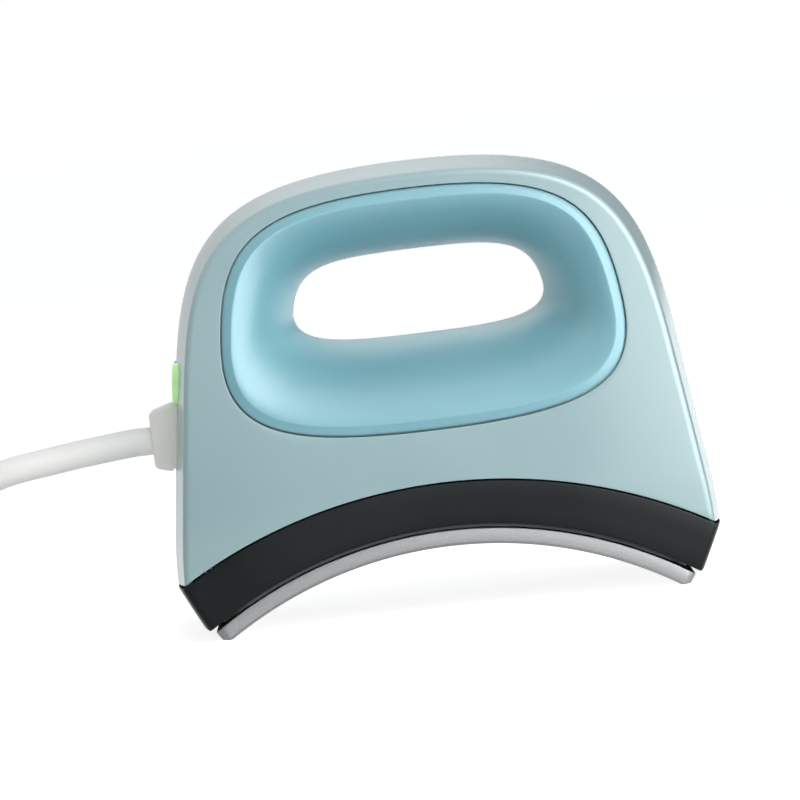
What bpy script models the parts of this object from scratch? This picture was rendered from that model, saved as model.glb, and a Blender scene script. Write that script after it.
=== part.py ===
"""Cap heat press: a hand-held press with a curved plate, a looped handle and a mains cord.

Metres, +Z up. The press stands on the two tips of its curved plate at z = 0. +X runs along its
width, the cord leaves at -X, and the front faces -Y. Run it with
blender --background --python part.py, or from the text editor.
"""

import math

import bmesh
import bpy
from mathutils import Matrix, Vector
from mathutils.geometry import interpolate_bezier

MM = 0.001
GAP = 0.3 * MM
HALF_GAP = GAP / 2
CUT_REACH = 100 * MM  # half length of a cutter that runs right through the press

# The three sizes that the rest follows: half the width that the sides would reach at z = 0,
# the height, and half the depth at the foot
SIDE_WIDTH_AT_ZERO = 74.18 * MM
BODY_HEIGHT = 116.8 * MM
BASE_HALF_DEPTH = 41 * MM

# Heat plate: a 127 x 76 mm face on an arc of 108 mm
PLATE_RADIUS = 1.4559 * SIDE_WIDTH_AT_ZERO
PLATE_THICKNESS = 4.2 * MM
PLATE_HALF_ANGLE = math.radians(33.4)
PLATE_HALF_DEPTH = BASE_HALF_DEPTH - 3 * MM
PLATE_CORNER = 3 * MM
PLATE_EDGE_ROUND = 1.3 * MM
PLATE_FOOT = 0.84 * MM  # what the plate's tips lose where they are cut flat to stand on
ARC_HEIGHT = -PLATE_RADIUS * math.cos(PLATE_HALF_ANGLE) - PLATE_FOOT
PLATE_TOP = PLATE_RADIUS + PLATE_THICKNESS

# Housing outline, as seen from the front
SIDE_LEAN = 0.1214
SIDE_TOP = 0.5402 * BODY_HEIGHT
SHOULDER_HANDLE = 0.3442 * BODY_HEIGHT
CROWN_HANDLE = 0.6916 * SIDE_WIDTH_AT_ZERO
BODY_FOOT = -14 * MM

# Housing depth, as seen from the side
CROWN_HALF_DEPTH = BASE_HALF_DEPTH / 2
FLARE_START = 26 * MM
FLARE_END = 1.0616 * BODY_HEIGHT
EDGE_DRAFT = 3 * MM  # what a side wall leans in between the parting line and the edge
EDGE_RADIUS = 2 * MM
EDGE_WIDTH = EDGE_DRAFT + EDGE_RADIUS
DRAFT_POWER = 1.25
WALL = 2.2 * MM
HOLLOW_DRAFT = EDGE_DRAFT - 0.9 * MM  # the wall thins a little towards the edge
HOLLOW_RADIUS = 0.5 * MM

# Handle opening: the grip's rim on the housing face, and its throat on the middle plane.
# Handles are the curve's lengths at the top, above and below the side point, and at the bottom
RIM_SIDE = (0.7064 * SIDE_WIDTH_AT_ZERO, 0.6327 * BODY_HEIGHT)
RIM_TOP = BODY_HEIGHT - 7 * MM
RIM_BOTTOM = 0.4058 * BODY_HEIGHT
RIM_HANDLES = (
    0.5581 * SIDE_WIDTH_AT_ZERO,
    0.2269 * BODY_HEIGHT,
    0.1824 * BODY_HEIGHT,
    0.5298 * SIDE_WIDTH_AT_ZERO,
)
RIM_LEAN = 0.07
THROAT_SIDE = (0.4449 * SIDE_WIDTH_AT_ZERO, 0.6943 * BODY_HEIGHT)
THROAT_TOP = 0.7997 * BODY_HEIGHT
THROAT_BOTTOM = 0.6087 * BODY_HEIGHT
THROAT_HANDLES = (
    0.3047 * SIDE_WIDTH_AT_ZERO,
    0.1002 * BODY_HEIGHT,
    0.0839 * BODY_HEIGHT,
    0.2804 * SIDE_WIDTH_AT_ZERO,
)
THROAT_LEAN = 0.19
RIM_FLAT = 3 * MM
RING_RISE = 0.6 * MM
FUNNEL_POWER = 1.8
FUNNEL_SLOPE = 0.12
GRIP_SKIN = 2 * MM
GRIP_LIP = 1.5 * MM
LIP_DEPTH = 1.2 * MM
LIP_PLAY = 1.1 * MM
SEAM = 0.25 * MM

# Skirt between plate and housing
SKIRT_BOTTOM = PLATE_TOP + 1.1 * MM
SKIRT_TOP = PLATE_TOP + 13.1 * MM
SKIRT_HALF_ANGLE = math.radians(35.3)
SKIRT_INSET = 0.2 * MM
SKIRT_WALL = 2.4 * MM
DECK_BOTTOM = SKIRT_TOP - 4.2 * MM
DECK_TOP = DECK_BOTTOM + 2 * MM
HOUSING_BOTTOM = SKIRT_TOP + 0.4 * MM
BOSS_ROOT = HOUSING_BOTTOM - 2 * MM
DECK_OPENING = (0.5932 * SIDE_WIDTH_AT_ZERO, BASE_HALF_DEPTH - 1 * MM)

# Heater stack, by radius from the arc's centre line
INSULATOR_THICKNESS = 4 * MM
INSULATOR_WIDTH = 3.4 * MM
INSULATOR_PLAY = 3.1 * MM
INSULATOR_CORNER = 8 * MM
ELEMENT_THICKNESS = 1.3 * MM
CLAMP_THICKNESS = 1.2 * MM
ELEMENT_HALF_ANGLE = math.radians(22.5)
ELEMENT_HALF_DEPTH = PLATE_HALF_DEPTH - 5 * MM
BLANKET_THICKNESS = 3 * MM
SHIELD_THICKNESS = 0.8 * MM
STACK_HALF_ANGLE = math.radians(28.9)
STACK_HALF_DEPTH = PLATE_HALF_DEPTH - 4 * MM
STACK_CORNER = 5 * MM
INSULATOR_BOTTOM = PLATE_TOP + GAP
ELEMENT_BOTTOM = PLATE_TOP + GAP
CLAMP_BOTTOM = ELEMENT_BOTTOM + ELEMENT_THICKNESS + GAP
CLAMP_TOP = CLAMP_BOTTOM + CLAMP_THICKNESS
BLANKET_BOTTOM = CLAMP_TOP + 1.2 * MM
SHIELD_BOTTOM = BLANKET_BOTTOM + BLANKET_THICKNESS + GAP
BOSS_TOP = PLATE_TOP + 3.8 * MM
PLATE_BOSS_RADIUS = 4 * MM
PLATE_HOLE_DEPTH = 1.4 * MM
CLAMP_HOLE_DEPTH = 2.6 * MM
SPACER_ANGLE = math.radians(25.5)
SPACER_DEPTH = STACK_HALF_DEPTH - 6 * MM
CLAMP_SCREW_ANGLE = math.radians(12)
CLAMP_SCREW_LENGTH = 5.2 * MM
STACK_BORE_LENGTH = 12 * MM
SKIRT_SCREW_ANGLE = math.radians(31)
SKIRT_SCREW_DEPTH = 12 * MM
SENSOR_DEPTH = -14 * MM
CUTOUT_DEPTH = 13 * MM

# Left end: buttons, cord gland
LEAN_ANGLE = math.atan(SIDE_LEAN)
BUTTON_HEIGHT = 0.5668 * BODY_HEIGHT
BUTTON_OFFSET = 8 * MM
BUTTON_RADIUS = 5.2 * MM
BUTTON_PROUD = 0.6 * MM
BUTTON_DEPTH = 3.4 * MM
BUTTON_FLANGE_RADIUS = 6.6 * MM
FLANGE_PLAY = 1.3 * MM
BUTTON_STEM_END = 6 * MM
SWITCH_TOP = BUTTON_STEM_END + 1.2 * MM
SWITCH_BODY_TOP = SWITCH_TOP + 1 * MM
BUTTON_BOARD_TOP = SWITCH_TOP + 4.8 * MM
BUTTON_BOARD_SIZE = (1.6 * MM, 30 * MM, 13 * MM)
GLAND_HEIGHT = 0.4409 * BODY_HEIGHT
GLAND_WALL_X = SIDE_LEAN * GLAND_HEIGHT - SIDE_WIDTH_AT_ZERO
GLAND_OUTER_X = GLAND_WALL_X - 6.17 * MM
GLAND_OUTER = (7.0 * MM, 6.3 * MM, GLAND_HEIGHT + 0.1 * MM)
GLAND_FOOT = (9.0 * MM, 8.4 * MM, GLAND_HEIGHT + 0.5 * MM)
GLAND_NECK_RADIUS = 5 * MM
GLAND_NECK_END = 14 * MM  # how far the neck reaches in from the wall's outer face
CORD_DIAMETER = 7.4 * MM

# Main board, with its parts in shares of its length and of the room above it
BOARD_BOTTOM = 42 * MM
BOARD_THICKNESS = 1.6 * MM
BOARD_TOP = BOARD_BOTTOM + BOARD_THICKNESS
BOARD_SIZE = (0.9706 * SIDE_WIDTH_AT_ZERO, 2 * BASE_HALF_DEPTH - 38 * MM)
BOARD_ROOM = THROAT_BOTTOM - BOARD_TOP
POST_X = BOARD_SIZE[0] / 2 - 6 * MM
POST_Y = BOARD_SIZE[1] / 2 - 5 * MM
BOARD_POSTS = ((-POST_X, POST_Y), (POST_X, -POST_Y))
POST_RADIUS = 3 * MM
BLOCK = (10 * MM, 20 * MM, 0.3637 * BOARD_ROOM)
BLOCK_PLACE = (-BOARD_SIZE[0] / 3, -6 * MM)
RELAY = (0.2639 * BOARD_SIZE[0], 15.5 * MM, 0.5456 * BOARD_ROOM)
RELAY_PLACE = (BOARD_SIZE[0] / 6, 2 * MM)
CAPACITOR = (5 * MM, 0.5456 * BOARD_ROOM)
CAPACITOR_PLACE = (-0.0972 * BOARD_SIZE[0], 5 * MM)
BUZZER = (6 * MM, 0.291 * BOARD_ROOM)
BUZZER_PLACE = (0.4097 * BOARD_SIZE[0], 8 * MM)
LEAD_DIAMETER = 1.8 * MM
LEAD_GRID = 1 * MM  # the leads' corners are given in steps of this

# Shell screws: their places on the rear face, as x and z
SHELL_BOSS_RADIUS = 3.4 * MM
UPPER_SCREW = (0.7414 * SIDE_WIDTH_AT_ZERO, 0.7663 * BODY_HEIGHT)
LOWER_SCREW = (0.7954 * SIDE_WIDTH_AT_ZERO, 0.3253 * BODY_HEIGHT)
SHELL_SCREWS = (
    (-UPPER_SCREW[0], UPPER_SCREW[1]),
    UPPER_SCREW,
    (-LOWER_SCREW[0], LOWER_SCREW[1]),
    LOWER_SCREW,
)
SCREW_SEAT_DEPTH = 4.5 * MM
SCREW_GRIP = 9 * MM  # how far a shell screw reaches into the front shell

# Cord coil beside the press
COIL_CENTRE = (GLAND_OUTER_X - 105.9 * MM, -10 * MM)
COIL_START_RADIUS = 46 * MM
COIL_PITCH = CORD_DIAMETER + 0.55 * MM
COIL_LIFT = 1.15 * MM
COIL_INWARD_TURNS = 3
COIL_OUTWARD_TURNS = 3.75
COIL_POINTS_PER_TURN = 16
COIL_START_ANGLE = math.radians(90)
SELF_GAP_FROM = 3  # diameters along the cord before a stretch counts as another one

# Plug
PLUG_NECK_LENGTH = 14 * MM
PLUG_BODY = (25 * MM, 25 * MM, 20 * MM)
BLADE = (16 * MM, 1.5 * MM, 6.3 * MM)
BLADE_OFFSET = 6.35 * MM
BLADE_RISE = 2.5 * MM
EARTH_PIN_DROP = 5.5 * MM
EARTH_PIN_RADIUS = 2.4 * MM
EARTH_PIN_LENGTH = 19 * MM
TAIL_BEND = 24 * MM
TAIL_RUN = 8 * MM

# Strap round the coil, by distance from the coil's middle
TIE_INSIDE = 19.2 * MM
TIE_REACH = 52.8 * MM
TIE_THICKNESS = 0.7 * MM
TIE_WIDTH = 8 * MM

MODEL = "cap_heat_press"


def clear_scene():
    """Remove whatever the file opened with."""
    for thing in list(bpy.data.objects):
        bpy.data.objects.remove(thing, do_unlink=True)


def collection(name):
    found = bpy.data.collections.new(name)
    bpy.context.scene.collection.children.link(found)
    return found


def material(name, colour, roughness=0.5, metallic=0.0):
    """A Principled material; its colour is linear RGB."""
    made = bpy.data.materials.new(name)
    made.use_nodes = True
    shader = made.node_tree.nodes["Principled BSDF"]
    shader.inputs["Base Color"].default_value = (*colour, 1)
    shader.inputs["Roughness"].default_value = roughness
    shader.inputs["Metallic"].default_value = metallic
    return made


def place_mesh(name, shape, look=None):
    """Turn a bmesh into an object of the model, or into a cutter when it has no look."""
    bmesh.ops.recalc_face_normals(shape, faces=shape.faces)
    mesh = bpy.data.meshes.new(name)
    shape.to_mesh(mesh)
    shape.free()
    thing = bpy.data.objects.new(name, mesh)
    if look is None:
        CUTTERS.objects.link(thing)
        thing.hide_render = True
        thing.display_type = "WIRE"
    else:
        PARTS.objects.link(thing)
        mesh.materials.append(look)
    return thing


def shade_round(thing, angle=math.radians(40)):
    thing.data.shade_smooth()
    thing.data.set_sharp_from_angle(angle=angle)


def boolean(thing, other, operation="DIFFERENCE"):
    modifier = thing.modifiers.new(f"{operation.lower()} {other.name}", "BOOLEAN")
    modifier.operation = operation
    modifier.solver = "EXACT"
    modifier.object = other


def cut(thing, *cutters):
    for cutter in cutters:
        boolean(thing, cutter)


def join(thing, *helpers):
    for helper in helpers:
        boolean(thing, helper, "UNION")


def bevel(thing, width, segments=2, angle=math.radians(40)):
    modifier = thing.modifiers.new("edges", "BEVEL")
    modifier.width = width
    modifier.segments = segments
    modifier.limit_method = "ANGLE"
    modifier.angle_limit = angle


def box(name, size, centre, look=None, turn=None, round_edges=0.0):
    """A box of a size about a centre, turned by a matrix."""
    shape = bmesh.new()
    bmesh.ops.create_cube(shape, size=1.0, matrix=Matrix.Diagonal((*size, 1)))
    thing = place_mesh(name, shape, look)
    thing.matrix_world = Matrix.Translation(centre) @ (turn or Matrix.Identity(4))
    if round_edges:
        bevel(thing, round_edges)
    return thing


def cylinder(name, radius, length, frame, look=None, segments=14, tip_radius=None):
    """A cylinder or cone that starts at a frame's origin and runs along its +Z."""
    shape = bmesh.new()
    bmesh.ops.create_cone(
        shape,
        cap_ends=True,
        segments=segments,
        radius1=radius,
        radius2=radius if tip_radius is None else tip_radius,
        depth=length,
        matrix=Matrix.Translation((0, 0, length / 2)),
    )
    thing = place_mesh(name, shape, look)
    thing.matrix_world = frame
    shade_round(thing)
    return thing


def turned(name, profile, frame, look, steps=12):
    """A turned solid: the profile is radius and height pairs, top to bottom, in the frame."""
    mesh = bpy.data.meshes.new(name)
    corners = [(radius, 0, height) for radius, height in profile]
    mesh.from_pydata(corners, [(i, i + 1) for i in range(len(corners) - 1)], [])
    mesh.materials.append(look)
    thing = bpy.data.objects.new(name, mesh)
    PARTS.objects.link(thing)
    screw = thing.modifiers.new("turn", "SCREW")
    screw.steps = steps
    screw.render_steps = steps
    screw.use_merge_vertices = True
    screw.merge_threshold = 1e-5
    thing.matrix_world = frame
    return thing


def screw(name, frame, shank, head, height, length, steps=12):
    """A domed screw: its head rests on the frame's origin and its shank runs along -Z."""
    profile = [(0, height), (0.75 * head, height), (head, height / 2), (head, 0)]
    profile += [(shank, 0), (shank, -length), (0, -length)]
    turned(name, profile, frame, BRIGHT, steps)


def along(direction, origin):
    """A frame at an origin whose +Z runs along a direction."""
    turn = Vector(direction).normalized().to_track_quat("Z", "Y").to_matrix().to_4x4()
    return Matrix.Translation(origin) @ turn


def radial(radius, angle, depth):
    """A frame on the press's arc: +Z runs outward from the arc's centre line."""
    outward = Vector((math.sin(angle), 0, math.cos(angle)))
    return along(outward, Vector((0, depth, ARC_HEIGHT)) + radius * outward)


def upright(x, y, z):
    return Matrix.Translation((x, y, z))


def arc_point(radius, angle, depth):
    return Vector((radius * math.sin(angle), depth, ARC_HEIGHT + radius * math.cos(angle)))


def smooth_path(corners, steps=6):
    """Points of a smooth curve through the corners, a Catmull-Rom spline."""
    corners = [Vector(corner) for corner in corners]
    before = corners[0] * 2 - corners[1]
    after = corners[-1] * 2 - corners[-2]
    padded = [before, *corners, after]
    path = [corners[0]]
    for a, b, c, d in zip(padded, padded[1:], padded[2:], padded[3:]):
        path += interpolate_bezier(b, b + (c - a) / 6, c - (d - b) / 6, c, steps + 1)[1:]
    return path


def tube(name, path, diameter, look, sides_level=2):
    """A round tube along points, with filled caps."""
    curve = bpy.data.curves.new(name, "CURVE")
    curve.dimensions = "3D"
    curve.bevel_depth = diameter / 2
    curve.bevel_resolution = sides_level
    curve.use_fill_caps = True
    spline = curve.splines.new("POLY")
    spline.points.add(len(path) - 1)
    for point, place in zip(spline.points, path):
        point.co = (*place, 1)
    curve.materials.append(look)
    thing = bpy.data.objects.new(name, curve)
    PARTS.objects.link(thing)
    return thing


# The curved blocks of the plate, skirt and heater stack


def section(half_depth, draft, radius, turns=2):
    """Stations of the housing's section, from the parting line round the edge to the face.

    Each is a pair: how far in from the outline, and how deep.
    """
    wall = half_depth - radius
    stations = [(0, 0), (draft * 0.5**DRAFT_POWER, wall / 2)]
    for i in range(turns + 1):
        angle = i / turns * math.pi / 2
        run = draft + radius * (1 - math.cos(angle))
        stations.append((run, wall + radius * math.sin(angle)))
    return stations


def rounded_stations(half_length, half_depth, corner, spans, turns):
    """Stations of a plan outline, pairs of place along and half depth.

    Its corners are round, or with no corner its ends follow the housing's section.
    """
    if corner is None:
        runs = section(half_depth, EDGE_DRAFT, EDGE_RADIUS)
    else:
        angles = [i / turns * math.pi / 2 for i in range(turns + 1)]
        runs = [
            (corner * (1 - math.cos(a)), half_depth - corner * (1 - math.sin(a))) for a in angles
        ]
    end = [(half_length - run, depth) for run, depth in runs]
    inner = end[-1][0]
    middle = [(inner * (1 - 2 * i / spans), half_depth) for i in range(1, spans)]
    right_to_left = end + middle + [(-place, depth) for place, depth in reversed(end)]
    return right_to_left


def curved_block(
    name, levels, half_angle, half_depth, corner, look=None, spans=12, turns=4
):
    """A slab on the press's arc.

    levels holds radius and inset pairs from inside to outside. half_depth is a length, or a
    function of the height z. With no corner the ends follow the housing's section.
    """
    shape = bmesh.new()
    rows = []
    for radius, inset in levels:
        base_depth = BASE_HALF_DEPTH if callable(half_depth) else half_depth
        stations = rounded_stations(half_angle * radius, base_depth, corner, spans, turns)
        row = []
        for place, depth in stations:
            squeeze = 1 - inset / (half_angle * radius)
            angle = place / radius * squeeze
            height = arc_point(radius, angle, 0).z
            full = half_depth(height) if callable(half_depth) else half_depth
            reach = depth * full / base_depth * (1 - inset / full)
            row.append(
                (shape.verts.new(arc_point(radius, angle, -reach)),
                 shape.verts.new(arc_point(radius, angle, reach)))
            )
        rows.append(row)
    for lower, upper in zip(rows, rows[1:]):
        for a, b, c, d in zip(lower, lower[1:], upper[1:], upper):
            shape.faces.new((a[0], b[0], c[0], d[0]))
            shape.faces.new((a[1], d[1], c[1], b[1]))
        for column in (0, -1):
            shape.faces.new((lower[column][0], lower[column][1], upper[column][1], upper[column][0]))
    for row in (rows[0], rows[-1]):
        for a, b in zip(row, row[1:]):
            shape.faces.new((a[0], a[1], b[1], b[0]))
    bmesh.ops.remove_doubles(shape, verts=shape.verts, dist=1e-6)
    bmesh.ops.dissolve_degenerate(shape, edges=shape.edges, dist=1e-6)
    return place_mesh(name, shape, look)


# The housing's outline and its solid


def bezier_half(top, side, bottom, handles, lean, steps):
    """Right half of a loop, from its top over its side point to its bottom, as x and z pairs."""
    crown, upper, lower, base = handles
    rise = Vector((-lean, 0, 1)).normalized()
    side = Vector((side[0], 0, side[1]))
    top_point = Vector((0, 0, top))
    bottom_point = Vector((0, 0, bottom))
    across = Vector((1, 0, 0))
    first = interpolate_bezier(top_point, top_point + crown * across, side + upper * rise, side, steps)
    second = interpolate_bezier(
        side, side - lower * rise, bottom_point + base * across, bottom_point, steps
    )
    return first + second[1:]


def full_loop(half):
    """Close a right half with its mirror image."""
    return half + [Vector((-p.x, 0, p.z)) for p in reversed(half[1:-1])]


def rim_loop(steps=10):
    return full_loop(bezier_half(RIM_TOP, RIM_SIDE, RIM_BOTTOM, RIM_HANDLES, RIM_LEAN, steps))


def throat_loop(steps=10):
    return full_loop(
        bezier_half(THROAT_TOP, THROAT_SIDE, THROAT_BOTTOM, THROAT_HANDLES, THROAT_LEAN, steps)
    )


def housing_half_depth(height):
    """Half depth of the housing's face at a height."""
    share = min(max((height - FLARE_START) / (FLARE_END - FLARE_START), 0), 1)
    flare = 1 - share**2 * (3 - 2 * share)
    return CROWN_HALF_DEPTH + (BASE_HALF_DEPTH - CROWN_HALF_DEPTH) * flare


def side_x(height):
    """Half width of the housing on its straight side."""
    return SIDE_WIDTH_AT_ZERO - SIDE_LEAN * height


def outline_half(inset, foot, side_steps=5, crown_steps=10):
    """Right half of the front outline, bottom to top, moved inward by an inset."""
    slant = inset / math.cos(LEAN_ANGLE)
    heights = [foot + (SIDE_TOP - foot) * i / side_steps for i in range(side_steps)]
    half = [Vector((side_x(height) - slant, 0, height)) for height in heights]
    start = Vector((side_x(SIDE_TOP), 0, SIDE_TOP))
    rise = Vector((-SIDE_LEAN, 0, 1)).normalized()
    crown = Vector((0, 0, BODY_HEIGHT))
    curve = interpolate_bezier(
        start, start + SHOULDER_HANDLE * rise, crown + Vector((CROWN_HANDLE, 0, 0)), crown, crown_steps
    )
    for i, point in enumerate(curve):
        before = curve[max(i - 1, 0)]
        after = curve[min(i + 1, crown_steps - 1)]
        tangent = (after - before).normalized()
        if i == crown_steps - 1:
            tangent = Vector((-1, 0, 0))
        inward = Vector((-tangent.z, 0, tangent.x))
        half.append(point + inset * inward)
    return half


def housing_solid(name, inset, foot, draft, radius, look=None):
    """The housing as one closed solid, moved inward everywhere by an inset."""
    shape = bmesh.new()
    runs = [run for run, _ in section(BASE_HALF_DEPTH, draft, radius)]
    last = len(runs) - 1
    rings = []
    for i in range(-last, last + 1):
        side = -1 if i < 0 else 1
        half = outline_half(inset + runs[abs(i)], foot)
        ring = []
        for point in half + [Vector((-p.x, 0, p.z)) for p in reversed(half[:-1])]:
            stations = section(housing_half_depth(point.z) - inset, draft, radius)
            ring.append(shape.verts.new((point.x, stations[abs(i)][1] * side, point.z)))
        rings.append(ring)
    for lower, upper in zip(rings, rings[1:]):
        count = len(lower)
        for j in range(count):
            k = (j + 1) % count
            shape.faces.new((lower[j], lower[k], upper[k], upper[j]))
    for ring in (rings[0], rings[-1]):
        count = len(ring)
        for j in range(count // 2):
            left = count - 1 - j
            if j + 1 == left - 1:
                shape.faces.new((ring[j], ring[j + 1], ring[left]))
            else:
                shape.faces.new((ring[j], ring[j + 1], ring[left - 1], ring[left]))
    return place_mesh(name, shape, look)


def prism(name, loop, half_depth):
    """A straight prism of a loop in the XZ plane, run out to both sides."""
    shape = bmesh.new()
    front = [shape.verts.new((p.x, -half_depth, p.z)) for p in loop]
    back = [shape.verts.new((p.x, half_depth, p.z)) for p in loop]
    shape.faces.new(front)
    shape.faces.new(list(reversed(back)))
    for j in range(len(loop)):
        k = (j + 1) % len(loop)
        shape.faces.new((front[j], front[k], back[k], back[j]))
    return place_mesh(name, shape)


def grown(loop, by):
    """A closed loop moved outward by a distance in its own plane."""
    count = len(loop)
    result = []
    for j in range(count):
        tangent = (loop[(j + 1) % count] - loop[j - 1]).normalized()
        result.append(loop[j] + by * Vector((-tangent.z, 0, tangent.x)))
    return result


# Plate and heater stack


def plate():
    levels = [
        (PLATE_RADIUS, PLATE_EDGE_ROUND),
        (PLATE_RADIUS + 0.4 * PLATE_EDGE_ROUND, 0.3 * PLATE_EDGE_ROUND),
        (PLATE_RADIUS + PLATE_EDGE_ROUND, 0),
        (PLATE_TOP, 0),
    ]
    thing = curved_block(
        "heat_plate",
        levels,
        PLATE_HALF_ANGLE,
        PLATE_HALF_DEPTH,
        PLATE_CORNER,
        ALUMINIUM,
        spans=14,
        turns=3,
    )
    floor = box("floor_cutter", (2 * CUT_REACH, 2 * CUT_REACH, CUT_REACH), (0, 0, -CUT_REACH / 2))
    cut(thing, floor)
    for i, (side, depth) in enumerate(FOUR_CORNERS):
        angle = side * SPACER_ANGLE
        place = depth * SPACER_DEPTH
        root = PLATE_TOP - 2 * MM
        boss = cylinder(
            f"plate_boss_{i}", PLATE_BOSS_RADIUS, BOSS_TOP - root, radial(root, angle, place)
        )
        join(thing, boss)
        hole_bottom = radial(PLATE_TOP - PLATE_HOLE_DEPTH, angle, place)
        cut(thing, cylinder(f"plate_hole_{i}", 2 * MM, 8 * MM, hole_bottom))
    for side in (-1, 1):
        hole_bottom = radial(PLATE_TOP - CLAMP_HOLE_DEPTH, side * CLAMP_SCREW_ANGLE, 0)
        cut(thing, cylinder(f"clamp_hole_{side}", 1.7 * MM, 6 * MM, hole_bottom))


def insulator():
    top = INSULATOR_BOTTOM + INSULATOR_THICKNESS
    half_angle = SKIRT_HALF_ANGLE - (SKIRT_INSET + SKIRT_WALL + INSULATOR_PLAY) / PLATE_TOP
    half_depth = PLATE_HALF_DEPTH - 0.6 * MM
    levels = [(INSULATOR_BOTTOM, 0), (top, 0)]
    thing = curved_block(
        "insulator_ring", levels, half_angle, half_depth, INSULATOR_CORNER, BLACK
    )
    window = curved_block(
        "insulator_window",
        [(INSULATOR_BOTTOM - MM, INSULATOR_WIDTH), (top + MM, INSULATOR_WIDTH)],
        half_angle,
        half_depth,
        INSULATOR_CORNER,
    )
    cut(thing, window)


def stack_layer(name, bottom, thickness, half_angle, half_depth, look):
    levels = [(bottom, 0), (bottom + thickness, 0)]
    return curved_block(
        name, levels, half_angle, half_depth, STACK_CORNER, look, spans=12, turns=2
    )


def heater_stack():
    element_size = (ELEMENT_HALF_ANGLE, ELEMENT_HALF_DEPTH)
    stack_size = (STACK_HALF_ANGLE, STACK_HALF_DEPTH)
    element = stack_layer(
        "heating_element", ELEMENT_BOTTOM, ELEMENT_THICKNESS, *element_size, MICA
    )
    clamp = stack_layer("element_clamp", CLAMP_BOTTOM, CLAMP_THICKNESS, *element_size, STEEL)
    blanket = stack_layer(
        "insulation_blanket", BLANKET_BOTTOM, BLANKET_THICKNESS, *stack_size, FIBRE
    )
    shield = stack_layer("heat_shield", SHIELD_BOTTOM, SHIELD_THICKNESS, *stack_size, STEEL)
    clamp_screws(element, clamp, blanket)
    for i, (side, depth) in enumerate(FOUR_CORNERS):
        foot = radial(BLANKET_BOTTOM - 2 * MM, side * SPACER_ANGLE, depth * SPACER_DEPTH)
        bore = cylinder(f"spacer_bore_{i}", 4.5 * MM, STACK_BORE_LENGTH, foot)
        cut(blanket, bore)
        cut(shield, bore)
    bores = [
        cylinder(name, radius, STACK_BORE_LENGTH, radial(CLAMP_TOP, 0, depth))
        for name, radius, depth in (
            ("cutout_bore", 7 * MM, CUTOUT_DEPTH),
            ("sensor_bore", 4.2 * MM, SENSOR_DEPTH),
            ("lead_bore", 2 * MM, 0),
        )
    ]
    for layer in (blanket, shield):
        cut(layer, *bores)
    seat = CLAMP_TOP + GAP
    profile = [(0, 6.6 * MM), (3.2 * MM, 6.6 * MM), (3.2 * MM, 5.4 * MM), (6.2 * MM, 5.0 * MM)]
    profile += [(6.2 * MM, 0.4 * MM), (5.8 * MM, 0), (0, 0)]
    turned("thermal_cutout", profile, radial(seat, 0, CUTOUT_DEPTH), CERAMIC)
    profile = [(0, 4.6 * MM), (1.2 * MM, 4.2 * MM), (1.2 * MM, 1.6 * MM), (3.4 * MM, 1.4 * MM)]
    profile += [(3.4 * MM, 0), (0, 0)]
    turned("temperature_sensor", profile, radial(seat, 0, SENSOR_DEPTH), BRIGHT, 14)


def clamp_screws(element, clamp, blanket):
    """Two screws through the clamp and the element into the plate, with holes for them."""
    for number, side in ((1, -1), (2, 1)):
        angle = side * CLAMP_SCREW_ANGLE
        shank = cylinder(f"clamp_shank_{number}", 1.8 * MM, 8 * MM, radial(PLATE_TOP, angle, 0))
        cut(element, shank)
        cut(clamp, shank)
        cut(blanket, cylinder(f"clamp_head_{number}", 3.6 * MM, 8 * MM, radial(CLAMP_TOP, angle, 0)))
        frame = radial(CLAMP_TOP + GAP, angle, 0)
        screw(f"clamp_screw_{number}", frame, 1.4 * MM, 2.9 * MM, 1.9 * MM, CLAMP_SCREW_LENGTH)


def spacers_and_plate_screws():
    spacer_bottom = BOSS_TOP + GAP
    length = DECK_BOTTOM - GAP - spacer_bottom
    for i, (side, depth) in enumerate(FOUR_CORNERS):
        angle = side * SPACER_ANGLE
        place = depth * SPACER_DEPTH
        inner, outer = 2.1 * MM, PLATE_BOSS_RADIUS
        profile = [(inner, length), (outer, length), (outer, 0), (inner, 0), (inner, length)]
        turned(f"plate_spacer_{i + 1}", profile, radial(spacer_bottom, angle, place), CERAMIC, 16)
        reach = DECK_TOP + GAP - (PLATE_TOP - MM)
        frame = radial(DECK_TOP + GAP, angle, place)
        screw(f"plate_screw_{i + 1}", frame, 1.6 * MM, 3.2 * MM, 1.9 * MM, reach)


# Skirt


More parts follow.
